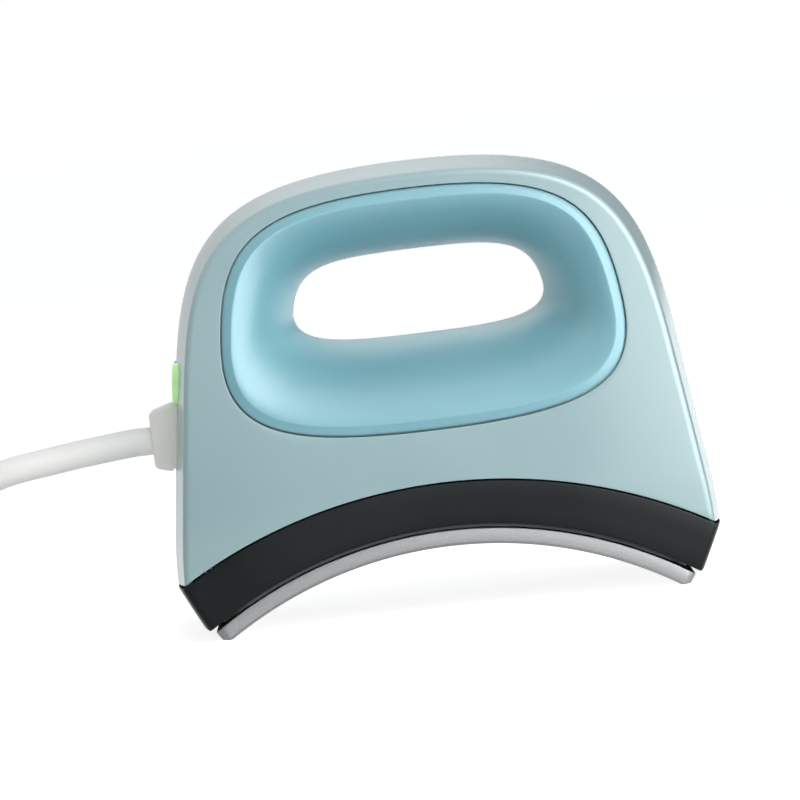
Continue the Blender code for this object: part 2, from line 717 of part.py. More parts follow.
def skirt():
    levels = [
        (SKIRT_BOTTOM, SKIRT_INSET + 0.5 * MM),
        (SKIRT_BOTTOM + 0.5 * MM, SKIRT_INSET),
        (SKIRT_TOP, SKIRT_INSET),
    ]
    shape_args = {"corner": None, "spans": 12}
    thing = curved_block(
        "base_skirt", levels, SKIRT_HALF_ANGLE, housing_half_depth, look=BLACK, **shape_args
    )
    inset = SKIRT_INSET + SKIRT_WALL
    pockets = [
        curved_block(
            name, [(bottom, inset), (top, inset)], SKIRT_HALF_ANGLE, housing_half_depth, **shape_args
        )
        for name, bottom, top in (
            ("lower_pocket", SKIRT_BOTTOM - MM, DECK_BOTTOM),
            ("upper_pocket", DECK_TOP, SKIRT_TOP + 2 * MM),
        )
    ]
    for i, corner in enumerate(FOUR_CORNERS):
        pad = cylinder(f"skirt_pad_{i}", 3.6 * MM, 12 * MM, at_skirt_screw(DECK_BOTTOM, corner))
        cut(pockets[1], pad)
    cut(thing, *pockets)
    window = box("deck_window", (*DECK_OPENING, 12 * MM), arc_point(DECK_TOP, 0, 0))
    cut(thing, window)
    below_deck = DECK_BOTTOM - 2 * MM
    for i, (side, depth) in enumerate(FOUR_CORNERS):
        at_spacer = radial(below_deck, side * SPACER_ANGLE, depth * SPACER_DEPTH)
        cut(thing, cylinder(f"deck_hole_{i}", 1.9 * MM, 6 * MM, at_spacer))
        at_screw = at_skirt_screw(below_deck, (side, depth))
        cut(thing, cylinder(f"skirt_hole_{i}", 1.7 * MM, 10 * MM, at_screw))
    for i, (x, y) in enumerate(BOARD_POSTS):
        foot = ARC_HEIGHT + math.sqrt(DECK_TOP**2 - x**2) - 1.5 * MM
        height = BOARD_BOTTOM - GAP - foot
        join(thing, cylinder(f"board_post_{i}", POST_RADIUS, height, upright(x, y, foot)))
        bore_bottom = upright(x, y, BOARD_BOTTOM - 8 * MM)
        cut(thing, cylinder(f"post_bore_{i}", 1.3 * MM, 9 * MM, bore_bottom))


def at_skirt_screw(radius, corner):
    side, depth = corner
    return radial(radius, side * SKIRT_SCREW_ANGLE, depth * SKIRT_SCREW_DEPTH)


def skirt_screws():
    upside_down = Matrix.Rotation(math.pi, 4, "X")
    for i, corner in enumerate(FOUR_CORNERS):
        frame = at_skirt_screw(DECK_BOTTOM - GAP, corner) @ upside_down
        screw(f"skirt_screw_{i + 1}", frame, 1.3 * MM, 2.8 * MM, 1.8 * MM, 9 * MM)


# Housing shells


def shell(name, side):
    """One half of the housing: side is -1 for the front and 1 for the rear."""
    thing = housing_solid(name, 0, BODY_FOOT, EDGE_DRAFT, EDGE_RADIUS, BLUE)
    inner = housing_solid(
        f"{name}_hollow", WALL, BODY_FOOT - 4 * MM, HOLLOW_DRAFT, HOLLOW_RADIUS
    )
    opening = prism(f"{name}_opening", grown(rim_loop(), SEAM), CUT_REACH)
    across = along((0, 1, 0), (0, -CUT_REACH, ARC_HEIGHT))
    arch = cylinder(f"{name}_arch", HOUSING_BOTTOM, 2 * CUT_REACH, across, segments=108)
    other_half = box(
        f"{name}_other_half",
        (3 * CUT_REACH, CUT_REACH, 3 * CUT_REACH),
        (0, side * (HALF_GAP - CUT_REACH / 2), CUT_REACH / 2),
    )
    cut(inner, *skirt_bosses(name, side), *screw_bosses(name, side))
    cut(thing, inner, opening, arch, other_half, *boss_bores(name, side))
    gland_start = along((1, 0, 0), (GLAND_WALL_X - 10 * MM, 0, GLAND_HEIGHT))
    gland_hole = GLAND_NECK_RADIUS + GAP
    cut(thing, cylinder(f"{name}_gland_hole", gland_hole, 16 * MM, gland_start, segments=24))
    outside = end_frame(side, -3 * MM)
    hole_radius = BUTTON_RADIUS + 0.35 * MM
    cut(thing, cylinder(f"{name}_button_hole", hole_radius, 8 * MM, outside, segments=28))


def skirt_bosses(name, side):
    """Posts that the skirt screws run up into; they stay solid when the shell is hollowed."""
    return [
        cylinder(
            f"{name}_skirt_boss_{end}", 3.2 * MM, 14 * MM, at_skirt_screw(BOSS_ROOT, (end, side))
        )
        for end in (-1, 1)
    ]


def screw_bosses(name, side):
    """Posts across the housing for the shell screws."""
    radius = SHELL_BOSS_RADIUS if side > 0 else SHELL_BOSS_RADIUS - 0.4 * MM
    return [
        cylinder(f"{name}_boss_{i}", radius, BASE_HALF_DEPTH, along((0, side, 0), (x, 0, z)))
        for i, (x, z) in enumerate(SHELL_SCREWS)
    ]


def boss_bores(name, side):
    """Screw holes: blind in the front shell, through and recessed in the rear one."""
    bores = []
    for end in (-1, 1):
        foot = at_skirt_screw(BOSS_ROOT, (end, side))
        bores.append(cylinder(f"{name}_skirt_bore_{end}", 1.6 * MM, 10 * MM, foot, segments=12))
    for i, (x, z) in enumerate(SHELL_SCREWS):
        start = along((0, side, 0), (x, -side * MM, z))
        if side < 0:
            bores.append(cylinder(f"{name}_bore_{i}", 1.5 * MM, 12 * MM, start, segments=12))
            continue
        bores.append(cylinder(f"{name}_bore_{i}", 1.9 * MM, 60 * MM, start, segments=12))
        seat = along((0, 1, 0), (x, screw_seat(z), z))
        bores.append(cylinder(f"{name}_recess_{i}", 2.8 * MM, 20 * MM, seat))
    return bores


def screw_seat(height):
    """Depth at which a shell screw's head rests."""
    return housing_half_depth(height) - SCREW_SEAT_DEPTH


def shell_screws():
    for i, (x, z) in enumerate(SHELL_SCREWS):
        seat = screw_seat(z) + GAP
        frame = along((0, 1, 0), (x, seat, z))
        screw(f"shell_screw_{i + 1}", frame, 1.2 * MM, 2.4 * MM, 2 * MM, seat + SCREW_GRIP)


# Soft grip linings


def funnel_share(share):
    """Share of the depth left at a share of the way from the ring to the throat."""
    return (1 - share**FUNNEL_POWER) ** (1 / FUNNEL_POWER) * (1 - FUNNEL_SLOPE * share)


def grip(name, side):
    """A lining: a raised ring round the rim, then a funnel that narrows to the throat."""
    rim = rim_loop()
    throat = throat_loop()
    back_rim = grown(rim, GRIP_SKIN)
    lip = grown(rim, GRIP_LIP)
    back_throat = grown(throat, GRIP_SKIN)
    shape = bmesh.new()
    sections = []
    for edge, neck, back_edge, lip_edge, back_neck in zip(rim, throat, back_rim, lip, back_throat):
        toward = (neck - edge).normalized()
        flat_end = edge + RIM_FLAT * toward
        face = housing_half_depth(edge.z)
        deep = housing_half_depth(flat_end.z)
        under = WALL + LIP_PLAY
        path = [(edge, face), (flat_end, deep + RING_RISE)]
        for share in (0.35, 0.65, 0.87, 0.97, 1.0):
            depth = (deep + RING_RISE) * funnel_share(share)
            path.append((flat_end.lerp(neck, share), max(depth, HALF_GAP)))
        back_start = back_edge + RIM_FLAT * toward
        low = deep - under - LIP_DEPTH
        for share in (1.0, 0.88, 0.45):
            depth = low * funnel_share(share)
            path.append((back_start.lerp(back_neck, share), max(depth, HALF_GAP)))
        path += [(lip_edge, face - under - LIP_DEPTH), (lip_edge, face - under), (edge, face - under)]
        sections.append([shape.verts.new((point.x, side * depth, point.z)) for point, depth in path])
    count = len(sections)
    for j in range(count):
        first, second = sections[j], sections[(j + 1) % count]
        for i in range(len(first)):
            k = (i + 1) % len(first)
            shape.faces.new((first[i], second[i], second[k], first[k]))
    thing = place_mesh(name, shape, GRIP_BLUE)
    shade_round(thing)
    return thing


# Left end: buttons and gland


def end_frame(side, inward, height=BUTTON_HEIGHT, depth=BUTTON_OFFSET):
    """A frame on the left end's outer face, moved inward; +Z runs into the press."""
    into = Vector((math.cos(LEAN_ANGLE), 0, -math.sin(LEAN_ANGLE)))
    face = Vector((-side_x(height), side * depth, height))
    return along(into, face + inward * into)


def buttons():
    """Two push buttons; they slide inward along the end face's normal."""
    for name, side, look in (("power_button", -1, GREEN), ("start_button", 1, GRIP_BLUE)):
        profile = [
            (0, BUTTON_STEM_END),
            (2.5 * MM, BUTTON_STEM_END),
            (2.5 * MM, BUTTON_DEPTH + MM),
            (BUTTON_FLANGE_RADIUS, BUTTON_DEPTH + MM),
            (BUTTON_FLANGE_RADIUS, WALL + FLANGE_PLAY),
            (BUTTON_RADIUS, WALL + FLANGE_PLAY),
            (BUTTON_RADIUS, -BUTTON_PROUD + 0.5 * MM),
            (BUTTON_RADIUS - 0.5 * MM, -BUTTON_PROUD),
            (0, -BUTTON_PROUD),
        ]
        turned(name, profile, end_frame(side, 0), look, 20)


def button_board():
    middle = end_frame(0, BUTTON_BOARD_TOP + BUTTON_BOARD_SIZE[0] / 2).translation
    leaning = Matrix.Rotation(LEAN_ANGLE, 4, "Y")
    box("button_board", BUTTON_BOARD_SIZE, middle, BOARD_GREEN, leaning)
    for name, side in (("power_switch", -1), ("start_switch", 1)):
        body_height = BUTTON_BOARD_TOP - GAP - SWITCH_BODY_TOP
        frame = end_frame(side, SWITCH_BODY_TOP)
        profile = [(0, body_height), (3 * MM, body_height), (3 * MM, 0), (1.6 * MM, 0)]
        profile += [(1.6 * MM, SWITCH_TOP - SWITCH_BODY_TOP), (0, SWITCH_TOP - SWITCH_BODY_TOP)]
        turned(name, profile, frame, BLACK, 16)


def gland():
    """Cord boot: a tapered block outside, a round neck through the wall, a flange behind it."""
    shape = bmesh.new()
    corners = []
    for x, half_height, half_width, middle in (
        (GLAND_OUTER_X, *GLAND_OUTER),
        (GLAND_WALL_X - 0.7 * MM, *GLAND_FOOT),
    ):
        ring = []
        for up, across in ((-1, -1), (-1, 1), (1, 1), (1, -1)):
            z = middle + up * half_height
            lean = SIDE_LEAN * (z - GLAND_HEIGHT) if x > GLAND_OUTER_X else 0
            ring.append(shape.verts.new((x + lean, across * half_width, z)))
        corners.append(ring)
    shape.faces.new(corners[0])
    shape.faces.new(list(reversed(corners[1])))
    for j in range(4):
        k = (j + 1) % 4
        shape.faces.new((corners[0][j], corners[0][k], corners[1][k], corners[1][j]))
    thing = place_mesh("strain_relief", shape, GREY)
    bevel(thing, 1.4 * MM, 2)
    neck_start = along((1, 0, 0), (GLAND_WALL_X - 3 * MM, 0, GLAND_HEIGHT))
    flange_start = along((1, 0, 0), (GLAND_WALL_X + 4.6 * MM, 0, GLAND_HEIGHT))
    neck_length = GLAND_NECK_END + 3 * MM
    neck = cylinder("gland_neck", GLAND_NECK_RADIUS, neck_length, neck_start, segments=24)
    flange = cylinder("gland_flange", 7.5 * MM, 2.4 * MM, flange_start, segments=24)
    join(thing, neck, flange)


# Main board and its parts


def main_board():
    middle = (0, 0, BOARD_BOTTOM + BOARD_THICKNESS / 2)
    board = box("main_board", (*BOARD_SIZE, BOARD_THICKNESS), middle, BOARD_GREEN)
    top = BOARD_TOP + GAP
    for i, (x, y) in enumerate(BOARD_POSTS):
        hole_bottom = upright(x, y, BOARD_BOTTOM - 3 * MM)
        cut(board, cylinder(f"board_bore_{i}", 1.6 * MM, 8 * MM, hole_bottom))
        screw(f"board_screw_{i + 1}", upright(x, y, top), 1.1 * MM, 2.4 * MM, 1.6 * MM, 6 * MM)
    for name, size, place, look in (
        ("relay", RELAY, RELAY_PLACE, RELAY_BLUE),
        ("terminal_block", BLOCK, BLOCK_PLACE, BOARD_GREEN),
    ):
        box(name, size, (*place, top + size[2] / 2), look, round_edges=0.6 * MM)
    for name, (radius, height), place, look in (
        ("capacitor", CAPACITOR, CAPACITOR_PLACE, DARK_BLUE),
        ("buzzer", BUZZER, BUZZER_PLACE, BLACK),
    ):
        shoulder = radius - 0.6 * MM
        profile = [(0, height), (shoulder, height), (radius, height - 0.6 * MM)]
        profile += [(radius, 0), (0, 0)]
        turned(name, profile, upright(*place, top), look, 18)


def lead(name, look, *corners):
    """An insulated lead along a smooth route, its corners in steps of the lead grid."""
    route = [Vector(corner) * LEAD_GRID for corner in corners]
    tube(name, smooth_path(route, 4), LEAD_DIAMETER, look, sides_level=1)


def leads():
    """Insulated leads inside the housing."""
    tail = (GLAND_WALL_X + GLAND_NECK_END + GAP) / LEAD_GRID
    gland = GLAND_HEIGHT / LEAD_GRID
    board = BOARD_TOP / LEAD_GRID
    edge = (BOARD_SIZE[1] / 2 + 1.4 * MM) / LEAD_GRID
    window = edge + 1.6
    block = (BLOCK_PLACE[0] - BLOCK[0] / 2 - GAP) / LEAD_GRID
    deck = arc_point(DECK_TOP, 0, 0).z / LEAD_GRID
    shield_top = SHIELD_BOTTOM + SHIELD_THICKNESS + 1.4 * MM
    shield = arc_point(shield_top, -0.11, POST_Y - 8 * MM) / LEAD_GRID
    post = POST_Y / LEAD_GRID
    clamp = arc_point(CLAMP_TOP + 1.2 * MM, 0, 0) / LEAD_GRID
    sensor = arc_point(CLAMP_TOP + 5.8 * MM, 0, SENSOR_DEPTH) / LEAD_GRID
    cutout = arc_point(CLAMP_TOP + 7.9 * MM, 0, CUTOUT_DEPTH) / LEAD_GRID
    board_back = end_frame(0, BUTTON_BOARD_TOP + BUTTON_BOARD_SIZE[0])
    small_board = board_back.translation.x / LEAD_GRID + 0.6
    button = BUTTON_HEIGHT / LEAD_GRID - 1.7
    lead(
        "live_lead", LEAD_BROWN,
        (tail, -2.4, gland), (tail + 3, -2.4, gland), (block - 14.6, -6, gland + 0.5),
        (block - 5.7, -10, board + 6), (block, -11, board + 5),
    )
    lead(
        "neutral_lead", LEAD_BLUE,
        (tail, 2.4, gland), (tail + 3, 2.4, gland), (block - 14.6, 1, gland - 0.5),
        (block - 5.7, -1, board + 6), (block, -2, board + 5),
    )
    lead(
        "earth_lead", LEAD_GREEN,
        (tail, 0, gland - 3), (tail + 3, 0, gland - 3), (block - 18.6, 5, gland - 9.5),
        (block - 12.7, post - 8, deck + 1.9), (block + 5.3, post - 7, deck + 3.9),
        (block + 14.3, post - 7, deck + 2.9), shield,
    )
    lead(
        "heater_lead", FIBRE,
        (6, -edge, board), (5, -window, deck + 6.9), (2, -12, deck + 2.9), (0, -2, deck + 2.4),
        (0, 0, deck - 2.1), clamp,
    )
    lead(
        "sensor_lead", WHITE,
        (-8, -edge, board), (-8, -window, deck + 6.9), (-4, -17, deck + 2.9), sensor,
    )
    lead(
        "cutout_lead", LEAD_BROWN,
        (0, edge, board), (0, window, deck + 6.9), (0, 18, deck + 3.4), cutout,
    )
    lead(
        "button_lead", WHITE,
        (small_board, 0, button), (small_board + 2, 0, button - 0.1), (block - 14.7, 6, gland + 6.5),
        (block - 8.7, 11, board + 4), (block - 2.7, 11, board + 1.3),
    )


# Cord, coil and plug


def coil_path():
    """An upper spiral inward, half a turn down to the floor, and a lower spiral outward."""
    step = math.tau / COIL_POINTS_PER_TURN
    upper = COIL_LIFT + CORD_DIAMETER / 2 + COIL_PITCH
    total = COIL_INWARD_TURNS + 0.5 + COIL_OUTWARD_TURNS
    path = []
    for i in range(round(total * COIL_POINTS_PER_TURN) + 1):
        turns = i / COIL_POINTS_PER_TURN
        sink = min(max((turns - COIL_INWARD_TURNS) / 0.5, 0), 1)
        inward = min(turns, COIL_INWARD_TURNS)
        dip = 0.25 - abs(sink - 0.5) * 0.5
        outward = max(turns - COIL_INWARD_TURNS - 0.5, 0)
        radius = COIL_START_RADIUS - COIL_PITCH * (inward + dip - outward)
        angle = COIL_START_ANGLE + i * step
        height = upper - COIL_PITCH * (1 - math.cos(math.pi * sink)) / 2
        x = COIL_CENTRE[0] + radius * math.cos(angle)
        y = COIL_CENTRE[1] + radius * math.sin(angle)
        path.append(Vector((x, y, height)))
    return straight_ends(path)


def straight_ends(path):
    """Run each end on for one diameter along its own tangent."""
    first = Vector((1, 0, 0))
    last = Vector((0, -1, 0))
    return [path[0] + CORD_DIAMETER * first, *path, path[-1] + CORD_DIAMETER * last]


def least_self_gap(path, diameter):
    """Least clear distance between stretches of a path that lie well apart along it."""
    places = [0.0]
    for a, b in zip(path, path[1:]):
        places.append(places[-1] + (b - a).length)
    least = math.inf
    for i, a in enumerate(path):
        for j in range(i + 1, len(path)):
            if places[j] - places[i] > SELF_GAP_FROM * diameter:
                least = min(least, (a - path[j]).length)
    return least - diameter


def path_length(path):
    return sum((b - a).length for a, b in zip(path, path[1:]))


def cord_and_plug():
    coil = coil_path()
    tube("cord_coil", coil, CORD_DIAMETER, CORD_GREY, sides_level=1)
    start = Vector((GLAND_OUTER_X - GAP, 0, GLAND_HEIGHT - 0.1 * MM))
    joint = coil[0] + Vector((GAP, 0, 0))
    route = [
        start,
        start + Vector((-CORD_DIAMETER, 0, -0.2 * MM)),
        start + Vector((-25.6 * MM, 0, -2 * MM)),
        start + Vector((-42.6 * MM, 1 * MM, -4.8 * MM)),
        start + Vector((-57.6 * MM, 8 * MM, -12.4 * MM)),
        start + Vector((-69.6 * MM, 20 * MM, -25.4 * MM)),
        joint + Vector((15.3 * MM, -4 * MM, 2.7 * MM)),
        joint + Vector((CORD_DIAMETER, 0, 0)),
        joint,
    ]
    free = smooth_path(route, 3)
    tube("mains_cord", free, CORD_DIAMETER, CORD_GREY, sides_level=2)
    plug_z = COIL_LIFT + CORD_DIAMETER + COIL_PITCH + GAP + PLUG_BODY[2] / 2
    end = coil[-1] + Vector((0, -GAP, 0))
    turn = end + Vector((0, -CORD_DIAMETER, 0))
    neck = turn + Vector((TAIL_BEND + TAIL_RUN, -TAIL_BEND, plug_z - end.z))
    tail_route = [
        end,
        (end + turn) / 2,
        turn,
        turn + Vector((0.13 * TAIL_BEND, -0.5 * TAIL_BEND, 0.28 * (plug_z - end.z))),
        turn + Vector((0.5 * TAIL_BEND, -0.87 * TAIL_BEND, 0.68 * (plug_z - end.z))),
        neck + Vector((-TAIL_RUN, 0, -0.06 * (plug_z - end.z))),
        neck + Vector((-CORD_DIAMETER / 2, 0, 0)),
        neck + Vector((-GAP, 0, 0)),
    ]
    tail = smooth_path(tail_route, 3)
    tube("cord_tail", tail, CORD_DIAMETER, CORD_GREY, sides_level=2)
    plug(neck)
    tie()
    lengths = [path_length(p) for p in (free, coil, tail)]
    print("cord lengths", [round(length, 4) for length in lengths], "total", round(sum(lengths), 4))
    print("least self-gap of the coil in mm", round(least_self_gap(coil, CORD_DIAMETER) / MM, 3))


def plug(neck):
    """A moulded three-pin plug that points along +X, lying across the coil."""
    x, y, z = neck
    body_x = x + PLUG_NECK_LENGTH + PLUG_BODY[0] / 2
    body = box("plug_body", PLUG_BODY, (body_x, y, z), CORD_GREY, round_edges=2.5 * MM)
    collar_length = PLUG_NECK_LENGTH + 3 * MM
    neck_frame = along((1, 0, 0), neck)
    join(body, cylinder("plug_neck", 4.6 * MM, collar_length, neck_frame, tip_radius=6.5 * MM))
    face = body_x + PLUG_BODY[0] / 2 + GAP
    for number, side in ((1, -1), (2, 1)):
        place = (face + BLADE[0] / 2, y + side * BLADE_OFFSET, z + BLADE_RISE)
        box(f"plug_blade_{number}", BLADE, place, BRASS)
    pin = along((1, 0, 0), (face, y, z - EARTH_PIN_DROP))
    cylinder("plug_earth_pin", EARTH_PIN_RADIUS, EARTH_PIN_LENGTH, pin, BRASS, 12)


def tie():
    """A strap round the coil's turns, on the side towards the press."""
    middle = Vector((COIL_CENTRE[0] + (TIE_REACH + TIE_INSIDE) / 2, COIL_CENTRE[1], 0))
    height = COIL_LIFT + CORD_DIAMETER + COIL_PITCH + TIE_THICKNESS + 0.6 * MM
    middle.z = height / 2 + 0.02 * MM
    length = TIE_REACH - TIE_INSIDE
    outside = (length + 2 * TIE_THICKNESS, TIE_WIDTH, height)
    strap = box("cord_tie", outside, middle, BLACK, round_edges=0.3 * MM)
    hole = box("tie_window", (length, 2 * TIE_WIDTH, height - 2 * TIE_THICKNESS), middle)
    cut(strap, hole)


clear_scene()
PARTS = collection(MODEL)
CUTTERS = collection("cutters")
FOUR_CORNERS = ((-1, -1), (1, -1), (-1, 1), (1, 1))

ALUMINIUM = material("plate_aluminium", (0.42, 0.43, 0.44), 0.4, 0.9)
STEEL = material("sheet_steel", (0.45, 0.45, 0.46), 0.35, 1.0)
BRIGHT = material("screw_steel", (0.6, 0.6, 0.6), 0.25, 1.0)
BRASS = material("plug_brass", (0.7, 0.55, 0.25), 0.3, 1.0)
CERAMIC = material("ceramic", (0.8, 0.78, 0.7), 0.6)
MICA = material("mica", (0.45, 0.38, 0.22), 0.5)
FIBRE = material("glass_fibre", (0.8, 0.78, 0.72), 0.95)
BLACK = material("skirt_black", (0.015, 0.018, 0.02), 0.45)
BLUE = material("housing_blue", (0.41, 0.56, 0.6), 0.22)
GRIP_BLUE = material("grip_blue", (0.24, 0.47, 0.53), 0.5)
GREEN = material("button_green", (0.2, 0.55, 0.1), 0.3)
GREY = material("boot_grey", (0.55, 0.55, 0.51), 0.5)
CORD_GREY = material("cord_grey", (0.68, 0.68, 0.64), 0.5)
BOARD_GREEN = material("board_green", (0.03, 0.2, 0.08), 0.5)
RELAY_BLUE = material("relay_blue", (0.03, 0.15, 0.5), 0.4)
DARK_BLUE = material("capacitor_blue", (0.02, 0.03, 0.12), 0.35)
LEAD_BROWN = material("lead_brown", (0.2, 0.08, 0.03), 0.5)
LEAD_BLUE = material("lead_blue", (0.05, 0.2, 0.6), 0.5)
LEAD_GREEN = material("lead_green", (0.2, 0.5, 0.05), 0.5)
WHITE = material("lead_white", (0.8, 0.8, 0.8), 0.5)

plate()
insulator()
heater_stack()
spacers_and_plate_screws()
skirt()
skirt_screws()
shell("front_shell", -1)
shell("rear_shell", 1)
shell_screws()
grip("front_grip", -1)
grip("rear_grip", 1)
buttons()
button_board()
gland()
main_board()
leads()
cord_and_plug()
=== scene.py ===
"""The looks of the cap heat press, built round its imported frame.

Metres, +Z up. The press stands on the two tips of its plate at z = 0, its front faces -Y and its
cord leaves at -X. The main sizes below repeat those of the part's source.
"""

import math

import bmesh
import bpy
import numpy as np
from mathutils import Matrix, Vector
from mathutils.geometry import interpolate_bezier


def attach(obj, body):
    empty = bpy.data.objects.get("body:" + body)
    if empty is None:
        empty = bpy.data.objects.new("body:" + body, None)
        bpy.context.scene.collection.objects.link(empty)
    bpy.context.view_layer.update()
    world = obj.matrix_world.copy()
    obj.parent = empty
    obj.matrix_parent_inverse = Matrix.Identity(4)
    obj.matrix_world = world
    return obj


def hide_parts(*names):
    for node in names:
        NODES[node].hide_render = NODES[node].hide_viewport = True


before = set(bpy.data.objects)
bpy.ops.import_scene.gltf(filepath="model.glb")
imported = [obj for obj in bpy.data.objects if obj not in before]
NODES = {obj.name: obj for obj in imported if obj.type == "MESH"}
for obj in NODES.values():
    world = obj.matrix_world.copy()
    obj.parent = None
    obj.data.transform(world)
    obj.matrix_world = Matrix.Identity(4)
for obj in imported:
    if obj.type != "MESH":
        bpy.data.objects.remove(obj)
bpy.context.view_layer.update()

MM = 0.001

# Heat plate, and the arc that it shares with skirt and housing
ARC_HEIGHT = -91.0 * MM
PLATE_RADIUS = 108 * MM
PLATE_THICKNESS = 4.2 * MM
PLATE_HALF_ANGLE = math.radians(33.8)
PLATE_HALF_DEPTH = 38 * MM
PLATE_CORNER = 2.2 * MM
PLATE_FACE_ROUND = 0.9 * MM
PLATE_BACK_ROUND = 0.35 * MM
PLATE_CUTS = 36  # across each half of the flat slab, so that it bends smoothly
NEAR = 0.01 * MM  # how close to a face still counts as on it

# Skirt
SKIRT_BOTTOM = 113.3 * MM
SKIRT_TOP = 125.3 * MM
SKIRT_HALF_ANGLE = math.radians(35.6)
SKIRT_END_FALL = math.radians(0.7)  # how much wider the skirt's ends are at the bottom
SKIRT_WALL = 2 * MM
SKIRT_PROFILE = (  # from the bottom up: radius on the arc, and how far the wall stands in
    (SKIRT_BOTTOM, 0.8 * MM),
    (SKIRT_BOTTOM + 0.1 * MM, 0.45 * MM),
    (SKIRT_BOTTOM + 0.3 * MM, 0.27 * MM),
    (SKIRT_BOTTOM + 0.7 * MM, 0.2 * MM),
    (SKIRT_BOTTOM + 4 * MM, 0.2 * MM),
    (SKIRT_BOTTOM + 8 * MM, 0.2 * MM),
    (SKIRT_TOP - 0.5 * MM, 0.2 * MM),
    (SKIRT_TOP - 0.15 * MM, 0.3 * MM),
    (SKIRT_TOP, 0.5 * MM),
)
SKIRT_FACE_STEPS = 60
DECK_RADIUS = 122.1 * MM
DECK_HALF_ANGLE = SKIRT_HALF_ANGLE * 0.93
DECK_HALF_DEPTH = 36 * MM
DECK_THICKNESS = 2 * MM
DECK_STEPS = 24

# Joint of housing and skirt: it lies below the arc in the middle and above it at the ends
HOUSING_BOTTOM = 125.7 * MM
JOINT_DROP = 0.8 * MM
JOINT_RISE = 1.8 * MM
JOINT_REACH = 68 * MM

# Housing outline and depth
SIDE_WIDTH_AT_ZERO = 74.18 * MM
BODY_HEIGHT = 116.8 * MM
BASE_HALF_DEPTH = 41 * MM
SIDE_LEAN = 0.1214
LEAN_ANGLE = math.atan(SIDE_LEAN)
SIDE_TOP = 63.1 * MM
TUCK_START = 26 * MM
TUCK_END = 12 * MM
TUCK = 0.9 * MM  # what the side curves in by over the last stretch above the foot
SHOULDER_HANDLE = 40.2 * MM
CROWN_HANDLE = 51.3 * MM
CROWN_HALF_DEPTH = 20.5 * MM
FLARE_START = 26 * MM
FLARE_END = 124 * MM
EDGE_DRAFT = 3 * MM
EDGE_RADIUS = 2 * MM
EDGE_WIDTH = EDGE_DRAFT + EDGE_RADIUS
DRAFT_POWER = 1.25
FACE_CROWN = 1.0 * MM  # what the face falls away by towards its edges
FACE_CROWN_WIDTH = 30 * MM
FACE_ROWS = 16
FOOT_STEPS = 40  # along each half of the foot
WALL = 2.2 * MM
HALF_GAP = 0.15 * MM
SHELL_MERGE = 0.004 * MM
SHELL_ROUND = 0.3 * MM

# Handle opening and its linings
RIM_SIDE = (52.4 * MM, 73.9 * MM)
RIM_TOP = 109.8 * MM
RIM_BOTTOM = 47.4 * MM
RIM_HANDLES = (41.4 * MM, 26.5 * MM, 21.3 * MM, 39.3 * MM)
RIM_LEAN = 0.07
THROAT_SIDE = (33.0 * MM, 81.1 * MM)
THROAT_TOP = 93.4 * MM
THROAT_BOTTOM = 71.1 * MM
THROAT_HANDLES = (22.6 * MM, 11.7 * MM, 9.8 * MM, 20.8 * MM)
THROAT_LEAN = 0.19
OPENING_MIDDLE = Vector((0, 0, 78.6 * MM))
SEAM = 0.14 * MM
LINING_WALL = 1.4 * MM
LEDGE_DEPTH = 1.6 * MM  # of the floor that closes the gap round the lining
LEDGE_END = 2.2 * MM
LEDGE_REACH = 0.1 * MM
LIP_INSET = 0.32 * MM
LIP_ROUND = ((0, -0.35), (0.1, -0.1), (0.32, 0.02))  # in mm: inward, and above the face
RIM_FLAT = 3 * MM
RING_RISE = 1.1 * MM
RING_STATIONS = (0.3, 0.5, 0.7, 0.85, 0.95)
CREST_DROP = 0.06 * MM
FUNNEL_POWER = 1.7
FUNNEL_SLOPE = 0.12
FUNNEL_ROWS = 32
THROAT_DEPTH = 0.05 * MM

# Buttons in the left end
BUTTON_HEIGHT = 66.2 * MM
BUTTON_OFFSET = 8 * MM
BUTTON_RADIUS = 5.2 * MM
BUTTON_PROUD = 0.6 * MM
BUTTON_DEPTH = 4.2 * MM
BUTTON_RIM = 0.9 * MM
BUTTON_DISH = ((0.5 * MM, 0.28 * MM), (1.6 * MM, 0.12 * MM))  # rings: width, and how deep
BUTTON_ROUND = 0.45 * MM
BUTTON_FLANGE = (6.6 * MM, 0.9 * MM, 3.5 * MM)  # radius, thickness, place below the surface
BUTTON_STEM = (2.5 * MM, 2.0 * MM, 4.0 * MM)
BUTTON_PLAY = 0.3 * MM
CHAMFER_LENGTH = 1.4 * MM
CHAMFER_OUTER = BUTTON_RADIUS + 1.3 * MM
CHAMFER_INNER = BUTTON_RADIUS - 0.1 * MM

# Cord boot in the left end
GLAND_HEIGHT = 51.5 * MM
GLAND_WALL_X = -67.93 * MM
GLAND_OUTER_X = -74.1 * MM
GLAND_OUTER = (6.6 * MM, 7.4 * MM, 51.7 * MM)  # half width, half height, middle
GLAND_FOOT = (8.4 * MM, 9.0 * MM, 52.0 * MM)
GLAND_SINK = 0.1 * MM
GLAND_ROUND = 1.2 * MM
GLAND_SHOULDER = 0.7 * MM
GLAND_NECK = (5 * MM, 17 * MM, -3 * MM)  # radius, length, start from the wall
GLAND_FLANGE = (7.5 * MM, 2.4 * MM, 4.6 * MM)
GLAND_HOLE = (5.3 * MM, 20 * MM, -8 * MM)

